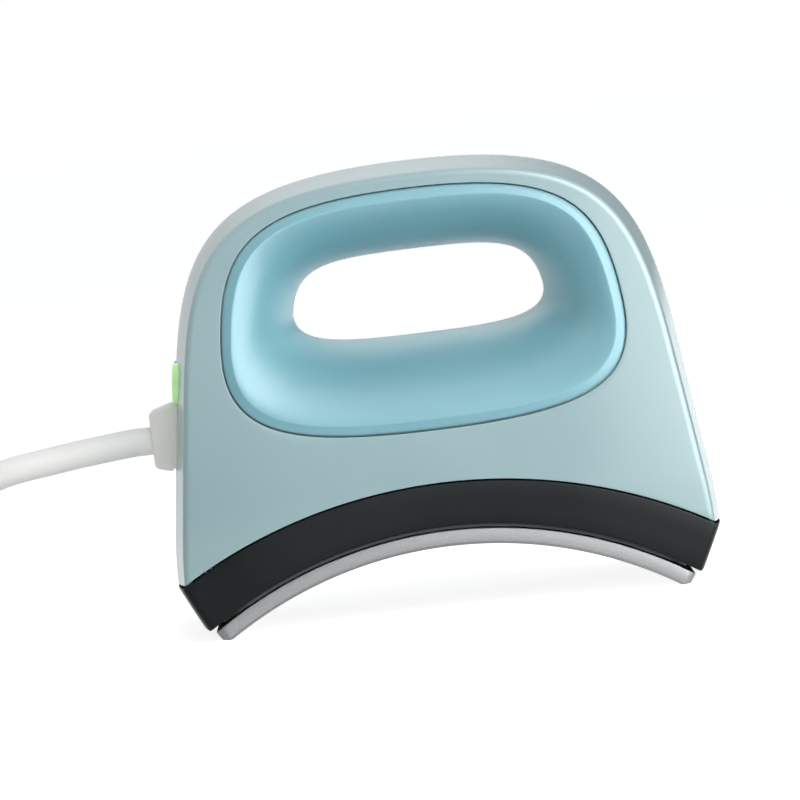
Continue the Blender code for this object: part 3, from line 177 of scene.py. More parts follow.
# Cord and its coil
CORD_DIAMETER = 7.4 * MM
CORD_LEAD = (  # the way down to the coil, in mm from the exit
    (0, 0, 0),
    (-7.7, 0, -0.2),
    (-25.9, 0, -2),
    (-42.9, 1, -4.8),
    (-57.9, 8, -12.4),
    (-69.9, 20, -25.4),
)
CORD_LANDING = (15.6, -4, 2.7)  # in mm from where the cord meets the coil
CORD_STEPS = 5  # from corner to corner
COIL_CENTRE = (-180 * MM, -10 * MM)
COIL_START_RADIUS = 46 * MM
COIL_PITCH = CORD_DIAMETER + 0.55 * MM
COIL_LIFT = 1.15 * MM
COIL_TOP = COIL_LIFT + CORD_DIAMETER + COIL_PITCH
COIL_INWARD_TURNS = 3
COIL_SINK_TURNS = 0.5
COIL_OUTWARD_TURNS = 3.75
COIL_STEPS = 32
TAIL_BEND = 24 * MM
TAIL_RUN = 8 * MM

# Plug
PLUG_BODY = (25 * MM, 25 * MM, 20 * MM)
PLUG_LIFT = 0.3 * MM  # above the coil
PLUG_WAIST = (1, 0.66, 0.72)  # what the body narrows to at its back
PLUG_COLLAR = 2 * MM
COLLAR_WAIST = (1, 0.8, 0.8)
PLUG_ROUND = 3 * MM
PLUG_NECK_LENGTH = 14 * MM
PLUG_NECK_RADII = (4.7 * MM, 6.6 * MM)
NECK_OVERLAP = 1 * MM
RIB_COUNT = 4
RIB_PITCH = 3.4 * MM
RIB_START = 9 * MM
RIB_SIZE = (1.1 * MM, 1.0 * MM, 0.42 * PLUG_BODY[2])
RIB_SINK = 0.42 * MM  # of the last rib's middle below the side
RIB_FALL = 0.1 * MM  # how much deeper each rib before it lies
RIB_ROUND = 0.4 * MM
COLLAR_START = 1.2 * MM
COLLAR_RADIUS = 5.0 * MM
COLLAR_GROWTH = 0.4 * MM
COLLAR_WIDTH = 1.6 * MM
COLLAR_ROUND = 0.35 * MM

# Strap round the coil
STRAP_INSIDE = 19.2 * MM  # from the coil's centre to the strap's two ends
STRAP_OUTSIDE = 52.8 * MM
STRAP_THICKNESS = 0.7 * MM
STRAP_WIDTH = 8 * MM
STRAP_PLAY = 0.6 * MM
STRAP_LIFT = 0.02 * MM
STRAP_ROUND = 0.25 * MM
STRAP_OPENING = 100 * MM * MM  # a face larger than this is the hole that the coil runs through
LAP_SHARE = 0.55
LAP_SHIFT = 0.12
LAP_THICKNESS = 0.5 * MM
LAP_NARROWER = 0.6 * MM
LAP_RISE = 0.1 * MM
LAP_ROUND = 0.2 * MM

# Shell screws in the rear face
SHELL_SCREWS = ((-53, 89.5), (53, 89.5), (-59, 38), (59, 38))  # in mm
SCREW_SEAT_DEPTH = 4.5 * MM
RECESS_RADIUS = 2.8 * MM
RECESS_LENGTH = 9 * MM
CUP_RADIUS = 3.1 * MM
CUP_WALL = 0.3 * MM
CUP_DROP = 1.5 * MM  # of the cup's mouth below the face
CUP_FLOOR = 0.05 * MM
HEAD_RADIUS = 2.4 * MM
HEAD_HEIGHT = 1.6 * MM
HEAD_SLOPE = 0.5 * MM
HEAD_CROWN = 0.3 * MM
HEAD_ROUND = 0.25 * MM
HEAD_LIFT = 0.3 * MM
CROSS_SIZE = (2.6 * MM, 1.6 * MM, 0.55 * MM)
CROSS_HEIGHT = 1.7 * MM
SHANK_RADIUS = 1.2 * MM
SHANK_LENGTH = 20 * MM
SHANK_OVERLAP = 0.1 * MM
SCREW_TURN = 23  # degrees from one screw's cross to the next

# The photograph's view: 8 degrees wide, 3 degrees down, rolled 7 degrees
VIEW_MIDDLE = Vector((-8.0, -40, 56.2)) * MM
VIEW_DISTANCE = 1.47
VIEW_DOWN = math.radians(3)
VIEW_ROLL = math.radians(7)
VIEW_HALF_WIDTH = math.radians(4.0)
VIEW_CLIP = (0.05, 60)
SENSOR_WIDTH = 36

# Light. A ramp is from, to, and the brightness at each of the two; lengths are in metres, and a
# direction's parts run from -1 to 1.
FLOOR_SIZE = 60
FLOOR_DROP = 0.2 * MM
FLOOR_WHITE = 0.8  # what the camera sees
FLOOR_MATTE = 0.25  # what matte faces get
FLOOR_MIRRORED = 0.78  # what glossy faces mirror, besides the pool of light on the right
FLOOR_RIGHT = (0.0, 0.35, 0.0, 7.2)
FLOOR_AHEAD = (-0.16, 0.02, 1.0, 0.08)
SKY_MATTE = 0.26
ROOM_AHEAD = (-0.5, 0.3, 0.3, 1.0)
ROOM_RIGHT = (0.0, 0.2, 1.0, 0.35)
WINDOW_RIGHT = (0.0, 0.35, 0.0, 11.0)
WINDOW_AHEAD = (-0.4, 0.3, 1.0, 0.0)
CEILING = (0.2, 0.8, 0.0, 1.6)
LAMPS = (  # name, place, aim, size, watts
    ("key", (0.36, -0.97, 0.36), (0.0, 0, 0.07), (0.62, 0.8), 4.2),
    ("main", (0.72, -0.6, 0.55), (0.0, 0, 0.07), (0.5, 0.6), 4.6),
    ("top", (0.1, -0.7, 1.0), (0.0, 0, 0.06), (0.6, 0.5), 1.8),
    ("left", (-0.8, -0.45, 0.3), (-0.05, 0, 0.06), (0.4, 0.6), 1.0),
)


# Small tools for modelling


def deselect():
    if bpy.context.mode != "OBJECT":
        bpy.ops.object.mode_set(mode="OBJECT")
    bpy.ops.object.select_all(action="DESELECT")


def take(name):
    """Name the primitive that was just added."""
    thing = bpy.context.active_object
    thing.name = thing.data.name = name
    return thing


def choose(thing):
    deselect()
    thing.select_set(True)
    bpy.context.view_layer.objects.active = thing


def edit(thing, kind="FACE", where=None):
    """Open a piece in edit mode with the faces, edges or vertices chosen whose test is true."""
    choose(thing)
    bpy.ops.object.mode_set(mode="EDIT")
    bpy.ops.mesh.select_mode(type=kind)
    bpy.ops.mesh.select_all(action="DESELECT" if where else "SELECT")
    if where:
        shape = bmesh.from_edit_mesh(thing.data)
        group = {"FACE": shape.faces, "EDGE": shape.edges, "VERT": shape.verts}[kind]
        for element in group:
            if where(element):
                element.select_set(True)
        shape.select_flush_mode()
        bmesh.update_edit_mesh(thing.data)


def done():
    bpy.ops.object.mode_set(mode="OBJECT")


def middle(element):
    """Middle of an edge or a face."""
    points = [v.co for v in element.verts]
    return sum(points, Vector()) / len(points)


def is_sharp(edge):
    """Whether an edge's faces meet at more than a radian."""
    return abs(edge.calc_face_angle(0)) > 1


def add_modifier(thing, kind, **settings):
    """Add a modifier and apply it."""
    choose(thing)
    modifier = thing.modifiers.new(kind.lower(), kind)
    for name, value in settings.items():
        setattr(modifier, name, value)
    bpy.ops.object.modifier_apply(modifier=modifier.name)


def round_edges(thing, width, segments=3, angle=50):
    add_modifier(
        thing,
        "BEVEL",
        width=width,
        segments=segments,
        limit_method="ANGLE",
        angle_limit=math.radians(angle),
        use_clamp_overlap=True,
    )


def smooth(thing, angle=35):
    choose(thing)
    bpy.ops.object.shade_smooth_by_angle(angle=math.radians(angle))


def settle(thing):
    """Put a piece's place into its mesh."""
    choose(thing)
    bpy.ops.object.transform_apply(location=True, rotation=True, scale=True)


def join(thing, *others):
    deselect()
    for other in others:
        other.select_set(True)
    thing.select_set(True)
    bpy.context.view_layer.objects.active = thing
    bpy.ops.object.join()
    return thing


def copy_of(thing, name):
    """A copy with a mesh of its own."""
    choose(thing)
    bpy.ops.object.duplicate(linked=False)
    return take(name)


def cut_away(thing, *cutters):
    for cutter in cutters:
        add_modifier(thing, "BOOLEAN", object=cutter, operation="DIFFERENCE", solver="EXACT")
        bpy.data.objects.remove(cutter, do_unlink=True)


def merge(thing, distance=0.001 * MM):
    edit(thing)
    bpy.ops.mesh.remove_doubles(threshold=distance)
    done()


def face_towards(thing, direction=None, centre=None):
    """Turn an open skin's faces to a direction, or away from a centre."""
    edit(thing)
    bpy.ops.mesh.normals_make_consistent(inside=False)
    done()
    facing = 0.0
    for face in thing.data.polygons:
        way = direction if centre is None else face.center - Vector(centre)
        facing += face.area * face.normal.dot(Vector(way))
    if facing < 0:
        edit(thing)
        bpy.ops.mesh.flip_normals()
        done()


def bent_grid(name, rows):
    """A grid primitive whose rows are moved to rows of points."""
    deselect()
    bpy.ops.mesh.primitive_grid_add(
        x_subdivisions=len(rows[0]) - 1, y_subdivisions=len(rows) - 1, size=1
    )
    thing = take(name)
    thing.data.vertices.foreach_set("co", np.array(rows, np.float32).reshape(-1))
    merge(thing)
    return thing


def cylinder(name, radius, depth, place, direction=(0, 0, 1), vertices=48, tip=None):
    """A cylinder or cone primitive that starts at a place and runs along a direction."""
    deselect()
    way = Vector(direction).normalized()
    bpy.ops.mesh.primitive_cone_add(
        vertices=vertices,
        radius1=radius,
        radius2=radius if tip is None else tip,
        depth=depth,
        location=Vector(place) + way * depth / 2,
        rotation=way.to_track_quat("Z", "Y").to_euler(),
    )
    thing = take(name)
    settle(thing)
    return thing


def block(name, size, place):
    """A box primitive of a size, with its middle at a place."""
    deselect()
    bpy.ops.mesh.primitive_cube_add(size=1, location=place, scale=size)
    thing = take(name)
    settle(thing)
    return thing


# The housing's curves


def half_depth(height):
    """Half depth of the housing's face at a height."""
    share = min(max((height - FLARE_START) / (FLARE_END - FLARE_START), 0), 1)
    flare = 1 - share**2 * (3 - 2 * share)
    return CROWN_HALF_DEPTH + (BASE_HALF_DEPTH - CROWN_HALF_DEPTH) * flare


def face_depth(point):
    """Depth of the housing's face at a point of the front view."""
    far = min(max(1 - (run_in(point) - EDGE_WIDTH) / FACE_CROWN_WIDTH, 0), 1)
    return half_depth(point.z) - FACE_CROWN * far**2


def edge_section(steps, turns):
    """Stations of the section from the parting line to the face: run in, share of wall, rise."""
    stations = []
    for i in range(steps):
        share = i / steps
        stations.append((EDGE_DRAFT * share**DRAFT_POWER, share, 0))
    for i in range(turns + 1):
        angle = i / turns * math.pi / 2
        stations.append(
            (EDGE_DRAFT + EDGE_RADIUS * (1 - math.cos(angle)), 1, EDGE_RADIUS * math.sin(angle))
        )
    return stations


def side_foot(inset):
    """Where the straight side, moved in by an inset, meets the housing's lower arc."""
    width = SIDE_WIDTH_AT_ZERO - inset / math.cos(LEAN_ANGLE)
    a = 1 + SIDE_LEAN**2
    b = SIDE_LEAN * width + ARC_HEIGHT
    c = width**2 + ARC_HEIGHT**2 - HOUSING_BOTTOM**2
    height = (b + math.sqrt(b * b - a * c)) / a
    return Vector((width - SIDE_LEAN * height, 0, height))


def tucked(point):
    """A point of the side, moved in along the lower arc as it nears the foot."""
    share = max(TUCK_START - point.z, 0) / (TUCK_START - TUCK_END)
    move = TUCK * share**2
    return point + move * Vector((-1, 0, point.x / (point.z - ARC_HEIGHT)))


def sag(x):
    """How far the joint of housing and skirt departs from the plate's arc."""
    return (JOINT_RISE * (x / JOINT_REACH) ** 2 - JOINT_DROP) * Vector((0, 0, 1))


def outline(inset, side_steps=24, crown_steps=72):
    """The front outline from right foot over the crown to left foot, moved in by an inset."""
    foot = side_foot(inset)
    foot += sag(foot.x)
    slant = inset / math.cos(LEAN_ANGLE)
    start = Vector((SIDE_WIDTH_AT_ZERO - SIDE_LEAN * SIDE_TOP, 0, SIDE_TOP))
    shoulder = start - Vector((slant, 0, 0))
    right = [foot.lerp(shoulder, i / side_steps) for i in range(side_steps)]
    rise = Vector((-SIDE_LEAN, 0, 1)).normalized()
    crown = Vector((0, 0, BODY_HEIGHT))
    curve = interpolate_bezier(
        start,
        start + SHOULDER_HANDLE * rise,
        crown + Vector((CROWN_HANDLE, 0, 0)),
        crown,
        crown_steps,
    )
    for i, point in enumerate(curve):
        before, after = curve[max(i - 1, 0)], curve[min(i + 1, crown_steps - 1)]
        tangent = (after - before).normalized()
        if i == 0:
            tangent = rise
        if i == crown_steps - 1:
            tangent = Vector((-1, 0, 0))
        right.append(point + inset * Vector((-tangent.z, 0, tangent.x)))
    right = [tucked(point) for point in right]
    return right + [Vector((-p.x, 0, p.z)) for p in reversed(right[:-1])]


def loop(top, side, bottom, handles, lean, steps=49):
    """A closed loop of the opening, clockwise from its top when seen from the front."""
    crown, upper, lower, base = handles
    rise = Vector((-lean, 0, 1)).normalized()
    across = Vector((1, 0, 0))
    side = Vector((side[0], 0, side[1]))
    top, bottom = Vector((0, 0, top)), Vector((0, 0, bottom))
    right = interpolate_bezier(top, top + crown * across, side + upper * rise, side, steps)
    right += interpolate_bezier(
        side, side - lower * rise, bottom + base * across, bottom, steps
    )[1:]
    return right + [Vector((-p.x, 0, p.z)) for p in reversed(right[1:-1])]


def grown(points, by):
    """A closed loop moved outward by a distance."""
    count = len(points)
    moved = []
    for j, point in enumerate(points):
        tangent = (points[(j + 1) % count] - points[j - 1]).normalized()
        moved.append(point + by * Vector((-tangent.z, 0, tangent.x)))
    return moved


def rim():
    return loop(RIM_TOP, RIM_SIDE, RIM_BOTTOM, RIM_HANDLES, RIM_LEAN)


def throat():
    return loop(THROAT_TOP, THROAT_SIDE, THROAT_BOTTOM, THROAT_HANDLES, THROAT_LEAN)


def along_rays(points, targets, centre):
    """Where the rays from a centre to each target cross a closed loop round it."""
    offsets = np.array([(p - centre)[:] for p in points])
    angles = np.arctan2(offsets[:, 0], offsets[:, 2])
    order = np.argsort(angles)
    radii = np.hypot(offsets[:, 0], offsets[:, 2])
    found = []
    for target in targets:
        way = target - centre
        angle = math.atan2(way.x, way.z)
        reach = float(np.interp(angle, angles[order], radii[order], period=math.tau))
        found.append(centre + reach * Vector((math.sin(angle), 0, math.cos(angle))))
    return found


OUTLINE = np.array([(p.x, p.z) for p in outline(0, 120, 400)])


def run_in(point):
    """Distance of a point of the front view from the outline."""
    away = OUTLINE - np.array((point.x, point.z))
    return float(np.sqrt((away**2).sum(axis=1)).min())


def on_arc(radius, angle, depth):
    return Vector((radius * math.sin(angle), depth, ARC_HEIGHT + radius * math.cos(angle)))


# Housing shells


def shell(name, side):
    """One moulded half of the housing: the rounded edge, then the face round the opening."""
    edge_rows = []
    for run, wall_share, rise in edge_section(16, 10):
        row = []
        for point in outline(run):
            wall = half_depth(point.z) - FACE_CROWN - EDGE_RADIUS
            depth = max(wall * wall_share + rise, HALF_GAP)
            row.append((point.x, side * depth, point.z))
        edge_rows.append(row)
    edge = bent_grid(name, edge_rows)
    face = bent_grid(f"{name}_face", shell_face(side))
    thing = join(edge, face)
    merge(thing, SHELL_MERGE)
    face_towards(thing, (0, side, 0))
    add_modifier(thing, "SOLIDIFY", thickness=WALL, offset=-1, use_even_offset=True)
    round_edges(thing, SHELL_ROUND, 3, 60)
    cutters = end_cutters(side)
    cups = []
    if side > 0:
        for x, z in SHELL_SCREWS:
            face_y = half_depth(z * MM)
            seat = (x * MM, face_y - SCREW_SEAT_DEPTH, z * MM)
            cutters.append(cylinder("recess", RECESS_RADIUS, RECESS_LENGTH, seat, (0, 1, 0)))
            cups.append(screw_cup(seat, face_y))
    cut_away(thing, *cutters)
    if cups:
        join(thing, *cups)
    smooth(thing)
    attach(thing, "press")
    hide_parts("front_shell" if side < 0 else "rear_shell")
    return thing


def shell_face(side):
    """Rows of points from the opening's rim out to the edge of the face."""
    sides = outline(EDGE_WIDTH)
    foot = sides[-1]
    foot_angle = math.atan2(-foot.x, foot.z - sag(foot.x).z - ARC_HEIGHT)
    arc = [
        on_arc(HOUSING_BOTTOM, foot_angle * (i / FOOT_STEPS - 1), 0)
        for i in range(1, 2 * FOOT_STEPS)
    ]
    border = sides + [point + sag(point.x) for point in arc]
    inner = along_rays(grown(rim(), SEAM), border, OPENING_MIDDLE)
    rows = []
    for i in range(FACE_ROWS + 1):
        row = []
        for j, (near, far) in enumerate(zip(inner, border)):
            point = near.lerp(far, i / FACE_ROWS)
            depth = face_depth(point)
            if i == FACE_ROWS and j < len(sides):
                depth = half_depth(point.z) - FACE_CROWN
            row.append((point.x, side * depth, point.z))
        rows.append(row + row[:1])
    return rows


def end_cutters(side):
    """What is cut from a shell's left end: the button's hole, its chamfer and the boot's hole."""
    into = end_way()
    radius, length, start = GLAND_HOLE
    return [
        cylinder(
            "button_hole",
            BUTTON_RADIUS + BUTTON_PLAY,
            12 * MM,
            end_place(side, -4 * MM),
            into,
            64,
        ),
        cylinder(
            "gland_hole", radius, length, (GLAND_WALL_X + start, 0, GLAND_HEIGHT), (1, 0, 0)
        ),
        cylinder(
            "button_chamfer",
            CHAMFER_OUTER,
            CHAMFER_LENGTH,
            end_place(side, -CHAMFER_LENGTH / 2),
            into,
            64,
            CHAMFER_INNER,
        ),
    ]


def screw_cup(seat, face_y):
    """The recessed seat of a shell screw: a tube with a floor that the screw passes through."""
    height = face_y - seat[1] - CUP_DROP
    thing = cylinder("cup", CUP_RADIUS, height, seat, (0, 1, 0))
    edit(thing, "FACE", lambda f: f.normal.y > 0.9)
    bpy.ops.mesh.inset(thickness=CUP_WALL)
    bpy.ops.mesh.extrude_region_move(
        TRANSFORM_OT_translate={"value": (0, -(height - CUP_FLOOR), 0)}
    )
    done()
    return thing


def end_way():
    """The direction into the press at its left end."""
    return Vector((math.cos(LEAN_ANGLE), 0, -math.sin(LEAN_ANGLE)))


def end_place(side, inward):
    """A button's middle on the left end's outer face, moved inward."""
    height = BUTTON_HEIGHT
    outer = Vector((-(SIDE_WIDTH_AT_ZERO - SIDE_LEAN * height), side * BUTTON_OFFSET, height))
    return outer + inward * end_way()


# Soft grip linings


def grip(name, side):
    """A lining: a raised ring round the rim, then a funnel that narrows to the throat."""
    columns = []
    for edge, neck in zip(rim(), throat()):
        columns.append([(p.x, side * d, p.z) for p, d in lining_section(edge, neck)])
    rows = [list(row) for row in zip(*columns)]
    thing = bent_grid(name, [row + row[:1] for row in rows])
    face_towards(thing, (0, side, 0))
    add_modifier(thing, "SOLIDIFY", thickness=LINING_WALL, offset=-1, use_even_offset=True)
    smooth(thing, 40)
    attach(thing, "press")
    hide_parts("front_grip" if side < 0 else "rear_grip")
    return thing


def lining_section(edge, neck):
    """Places and depths of a lining's surface from the rim's edge to the throat."""
    toward = (neck - edge).normalized()
    face = face_depth(edge)
    crease = edge + RIM_FLAT * toward
    deep = face_depth(crease)
    ledge, lip = edge - LEDGE_REACH * toward, edge + LIP_INSET * toward
    path = [(ledge, face - LEDGE_END), (ledge, face - LEDGE_DEPTH), (lip, face - LEDGE_DEPTH)]
    for inward, above in LIP_ROUND:
        path.append((lip + inward * MM * toward, face + above * MM))
    for share in RING_STATIONS:
        place = edge + RIM_FLAT * share * toward
        path.append((place, face + (deep - face + RING_RISE) * share))
    top = deep + RING_RISE - CREST_DROP
    for i in range(FUNNEL_ROWS + 1):
        turn = i / FUNNEL_ROWS * math.pi / 2
        share = math.sin(turn) ** (2 / FUNNEL_POWER)
        depth = top * math.cos(turn) ** (2 / FUNNEL_POWER) * (1 - FUNNEL_SLOPE * share)
        path.append((crease.lerp(neck, share), max(depth, THROAT_DEPTH)))
    return path


# Skirt and plate


def skirt():
    """The black band: a wall round the plan, bent onto the arc, with a deck inside it."""
    rows = [skirt_row(radius, inset) for radius, inset in SKIRT_PROFILE]
    thing = bent_grid("skirt_moulding", rows)
    face_towards(thing, centre=on_arc(SKIRT_TOP, 0, 0))
    add_modifier(thing, "SOLIDIFY", thickness=SKIRT_WALL, offset=-1)
    angles = [DECK_HALF_ANGLE * (i / DECK_STEPS - 1) for i in range(2 * DECK_STEPS + 1)]
    deck_rows = [
        [on_arc(DECK_RADIUS, angle, side * DECK_HALF_DEPTH)[:] for angle in angles]
        for side in (-1, 1)
    ]
    deck = bent_grid("skirt_deck", deck_rows)
    add_modifier(deck, "SOLIDIFY", thickness=DECK_THICKNESS, offset=0)
    join(thing, deck)
    smooth(thing, 40)
    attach(thing, "press")
    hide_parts("base_skirt")
    return thing


def skirt_row(radius, inset):
    """One closed row of the skirt's wall, all round the press."""
    fall = (SKIRT_TOP - radius) / (SKIRT_TOP - SKIRT_BOTTOM)
    reach = (SKIRT_HALF_ANGLE + SKIRT_END_FALL * (fall - 0.5)) * radius - inset
    stations = edge_section(10, 8)
    front = []
    for run, wall_share, rise in stations:
        place = (reach - run) / radius
        face = half_depth(on_arc(radius, place, 0).z) - FACE_CROWN - inset
        front.append((place, (face - EDGE_RADIUS) * wall_share + rise))
    span = front[-1][0]
    for i in range(1, SKIRT_FACE_STEPS):
        place = span * (1 - 2 * (i / SKIRT_FACE_STEPS))
        face = face_depth(on_arc(HOUSING_BOTTOM, place, 0)) - inset
        front.append((place, face))
    front += [(-place, depth) for place, depth in reversed(front[: len(stations)])]
    around = [(place, -depth) for place, depth in front]
    around += [(place, depth) for place, depth in reversed(front[1:-1])]
    points = [on_arc(radius, place, depth) for place, depth in around]
    row = [(point + (1 - fall) * sag(point.x))[:] for point in points]
    return row + row[:1]


def plate():
    """The heat plate: a flat slab with rounded corners and edges, bent onto its arc."""
    deselect()
    half_length = PLATE_HALF_ANGLE * PLATE_RADIUS
    back = PLATE_THICKNESS - NEAR
    bpy.ops.mesh.primitive_plane_add(size=2)
    thing = take("plate_casting")
    thing.scale = (half_length, PLATE_HALF_DEPTH, 1)
    settle(thing)
    edit(thing, "VERT")
    bpy.ops.mesh.bevel(offset=PLATE_CORNER, segments=12, affect="VERTICES")
    done()
    add_modifier(thing, "SOLIDIFY", thickness=PLATE_THICKNESS, offset=1)
    edit(thing)
    bpy.ops.mesh.normals_make_consistent(inside=False)
    done()
    edit(thing, "EDGE", lambda e: middle(e).z < NEAR and is_sharp(e))
    bpy.ops.mesh.bevel(offset=PLATE_FACE_ROUND, segments=6)
    done()
    edit(thing, "EDGE", lambda e: middle(e).z > back and is_sharp(e))
    bpy.ops.mesh.bevel(offset=PLATE_BACK_ROUND, segments=3)
    done()
    for i in range(1, 2 * PLATE_CUTS):
        edit(thing)
        place = half_length * (i / PLATE_CUTS - 1)
        bpy.ops.mesh.bisect(plane_co=(place, 0, 0), plane_no=(1, 0, 0))
        done()
    for vertex in thing.data.vertices:
        x, y, z = vertex.co
        vertex.co = on_arc(PLATE_RADIUS + z, x / PLATE_RADIUS, y)
    edit(thing)
    bpy.ops.mesh.bisect(plane_co=(0, 0, 0), plane_no=(0, 0, -1), clear_outer=True, use_fill=True)
    bpy.ops.mesh.select_all(action="SELECT")
    bpy.ops.mesh.normals_make_consistent(inside=False)
    done()
    smooth(thing, 30)
    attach(thing, "press")
    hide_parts("heat_plate")
    return thing


# Left end: buttons and cord gland


def button(name, side, body, node):
    """A push button: a dished cap with a rounded edge on a flange inside the wall."""
    way = end_way()
    start = end_place(side, BUTTON_DEPTH)
    thing = cylinder(name, BUTTON_RADIUS, BUTTON_DEPTH + BUTTON_PROUD, start, -way, 96)
    edit(thing, "FACE", lambda f: f.normal.dot(-way) > 0.9)
    bpy.ops.mesh.inset(thickness=BUTTON_RIM)
    for width, sink in BUTTON_DISH:
        bpy.ops.mesh.inset(thickness=width)
        bpy.ops.transform.translate(value=sink * way)
    done()
    round_edges(thing, BUTTON_ROUND, 4, 60)
    radius, length, place = BUTTON_FLANGE
    flange = cylinder("flange", radius, length, end_place(side, place), way, 64)
    radius, length, place = BUTTON_STEM
    stem = cylinder("stem", radius, length, end_place(side, place), way, 32)
    join(thing, flange, stem)
    smooth(thing, 40)
    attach(thing, body)
    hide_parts(node)
    return thing


def gland():
    """The cord boot: a tapered block against the wall, with a neck and a flange behind it."""
    wall = GLAND_WALL_X - GLAND_SINK
    thing = block("gland_boot", (1, 1, 1), (0, 0, 0))
    for vertex in thing.data.vertices:
        outer = vertex.co.x < 0
        half_width, half_height, height = GLAND_OUTER if outer else GLAND_FOOT
        z = height + 2 * vertex.co.z * half_height
        x = GLAND_OUTER_X if outer else wall + SIDE_LEAN * (z - GLAND_HEIGHT)
        vertex.co = (x, 2 * vertex.co.y * half_width, z)
    edit(thing, "EDGE", lambda e: middle(e).x < wall - 1 * MM)
    bpy.ops.mesh.bevel(offset=GLAND_ROUND, segments=6)
    done()
    edit(thing, "FACE", lambda f: f.normal.x > 0.9)
    bpy.ops.mesh.extrude_region_move(TRANSFORM_OT_translate={"value": (GLAND_SHOULDER, 0, 0)})
    done()
    behind = [
        cylinder(name, radius, length, (GLAND_WALL_X + start, 0, GLAND_HEIGHT), (1, 0, 0))
        for name, (radius, length, start) in (("neck", GLAND_NECK), ("flange", GLAND_FLANGE))
    ]
    join(thing, *behind)
    smooth(thing, 40)
    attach(thing, "press")
    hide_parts("strain_relief")
    return thing


# Cord, plug and strap


def smooth_path(corners, steps):
    """Points of a smooth curve through the corners."""
    corners = [Vector(corner) for corner in corners]
    padded = [corners[0] * 2 - corners[1], *corners, corners[-1] * 2 - corners[-2]]
    path = [corners[0]]
    for a, b, c, d in zip(padded, padded[1:], padded[2:], padded[3:]):
        path += interpolate_bezier(b, b + (c - a) / 6, c - (d - b) / 6, c, steps + 1)[1:]
    return path


def coil():
    """An upper spiral inward, half a turn down to the floor, and a lower spiral outward."""
    upper = COIL_LIFT + CORD_DIAMETER / 2 + COIL_PITCH
    total = COIL_INWARD_TURNS + COIL_SINK_TURNS + COIL_OUTWARD_TURNS
    path = []
    for i in range(round(total * COIL_STEPS) + 1):
        turns = i / COIL_STEPS
        sink = min(max((turns - COIL_INWARD_TURNS) / COIL_SINK_TURNS, 0), 1)
        inward = min(turns, COIL_INWARD_TURNS)
        dip = (0.5 - abs(sink - 0.5)) / 2
        outward = max(turns - COIL_INWARD_TURNS - COIL_SINK_TURNS, 0)
        radius = COIL_START_RADIUS - COIL_PITCH * (inward + dip - outward)
        angle = (turns + 0.25) * math.tau
        height = upper - COIL_PITCH * (1 - math.cos(math.pi * sink)) / 2
        x = COIL_CENTRE[0] + radius * math.cos(angle)
        y = COIL_CENTRE[1] + radius * math.sin(angle)
        path.append(Vector((x, y, height)))
    return path


def cord_route():
    """The whole cord from the gland to the plug, and the plug's neck."""
    turns = coil()
    joint = turns[0] + Vector((CORD_DIAMETER, 0, 0))
    start = Vector((GLAND_OUTER_X, 0, 51.4 * MM))
    lead = [start + Vector(offset) * MM for offset in CORD_LEAD]
    landing = joint + Vector(CORD_LANDING) * MM
    first = smooth_path([*lead, landing, joint, turns[0]], CORD_STEPS)
    end = turns[-1]
    turn = end + Vector((0, -2 * CORD_DIAMETER, 0))
    rise = COIL_TOP + PLUG_LIFT + PLUG_BODY[2] / 2 - end.z
    neck = turn + Vector((TAIL_BEND + TAIL_RUN, -TAIL_BEND, rise))
    corners = [
        end,
        end + Vector((0, -CORD_DIAMETER, 0)),
        turn,
        # A quarter turn towards the plug, a third and two thirds through, that rises as it goes
        turn + Vector((0.13 * TAIL_BEND, -0.5 * TAIL_BEND, 0.28 * rise)),
        turn + Vector((0.5 * TAIL_BEND, -0.87 * TAIL_BEND, 0.68 * rise)),
        neck + Vector((-TAIL_RUN, 0, -0.06 * rise)),
        neck + Vector((-CORD_DIAMETER / 2, 0, 0)),
        neck,
    ]
    tail = smooth_path(corners, CORD_STEPS)
    return first + turns[1:] + tail[1:], neck


def cord(path):
    curve = bpy.data.curves.new("mains_flex", "CURVE")
    curve.dimensions = "3D"
    curve.bevel_depth = CORD_DIAMETER / 2
    curve.bevel_resolution = 6
    curve.use_fill_caps = True
    spline = curve.splines.new("POLY")
    spline.points.add(len(path) - 1)
    for point, place in zip(spline.points, path):
        point.co = (*place, 1)
    spline.use_smooth = True
    thing = bpy.data.objects.new("mains_flex", curve)
    bpy.context.scene.collection.objects.link(thing)
    choose(thing)
    bpy.ops.object.convert(target="MESH")
    merge(thing)
    smooth(thing, 40)
    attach(thing, "press")
    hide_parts("mains_cord", "cord_coil", "cord_tail")
    return thing


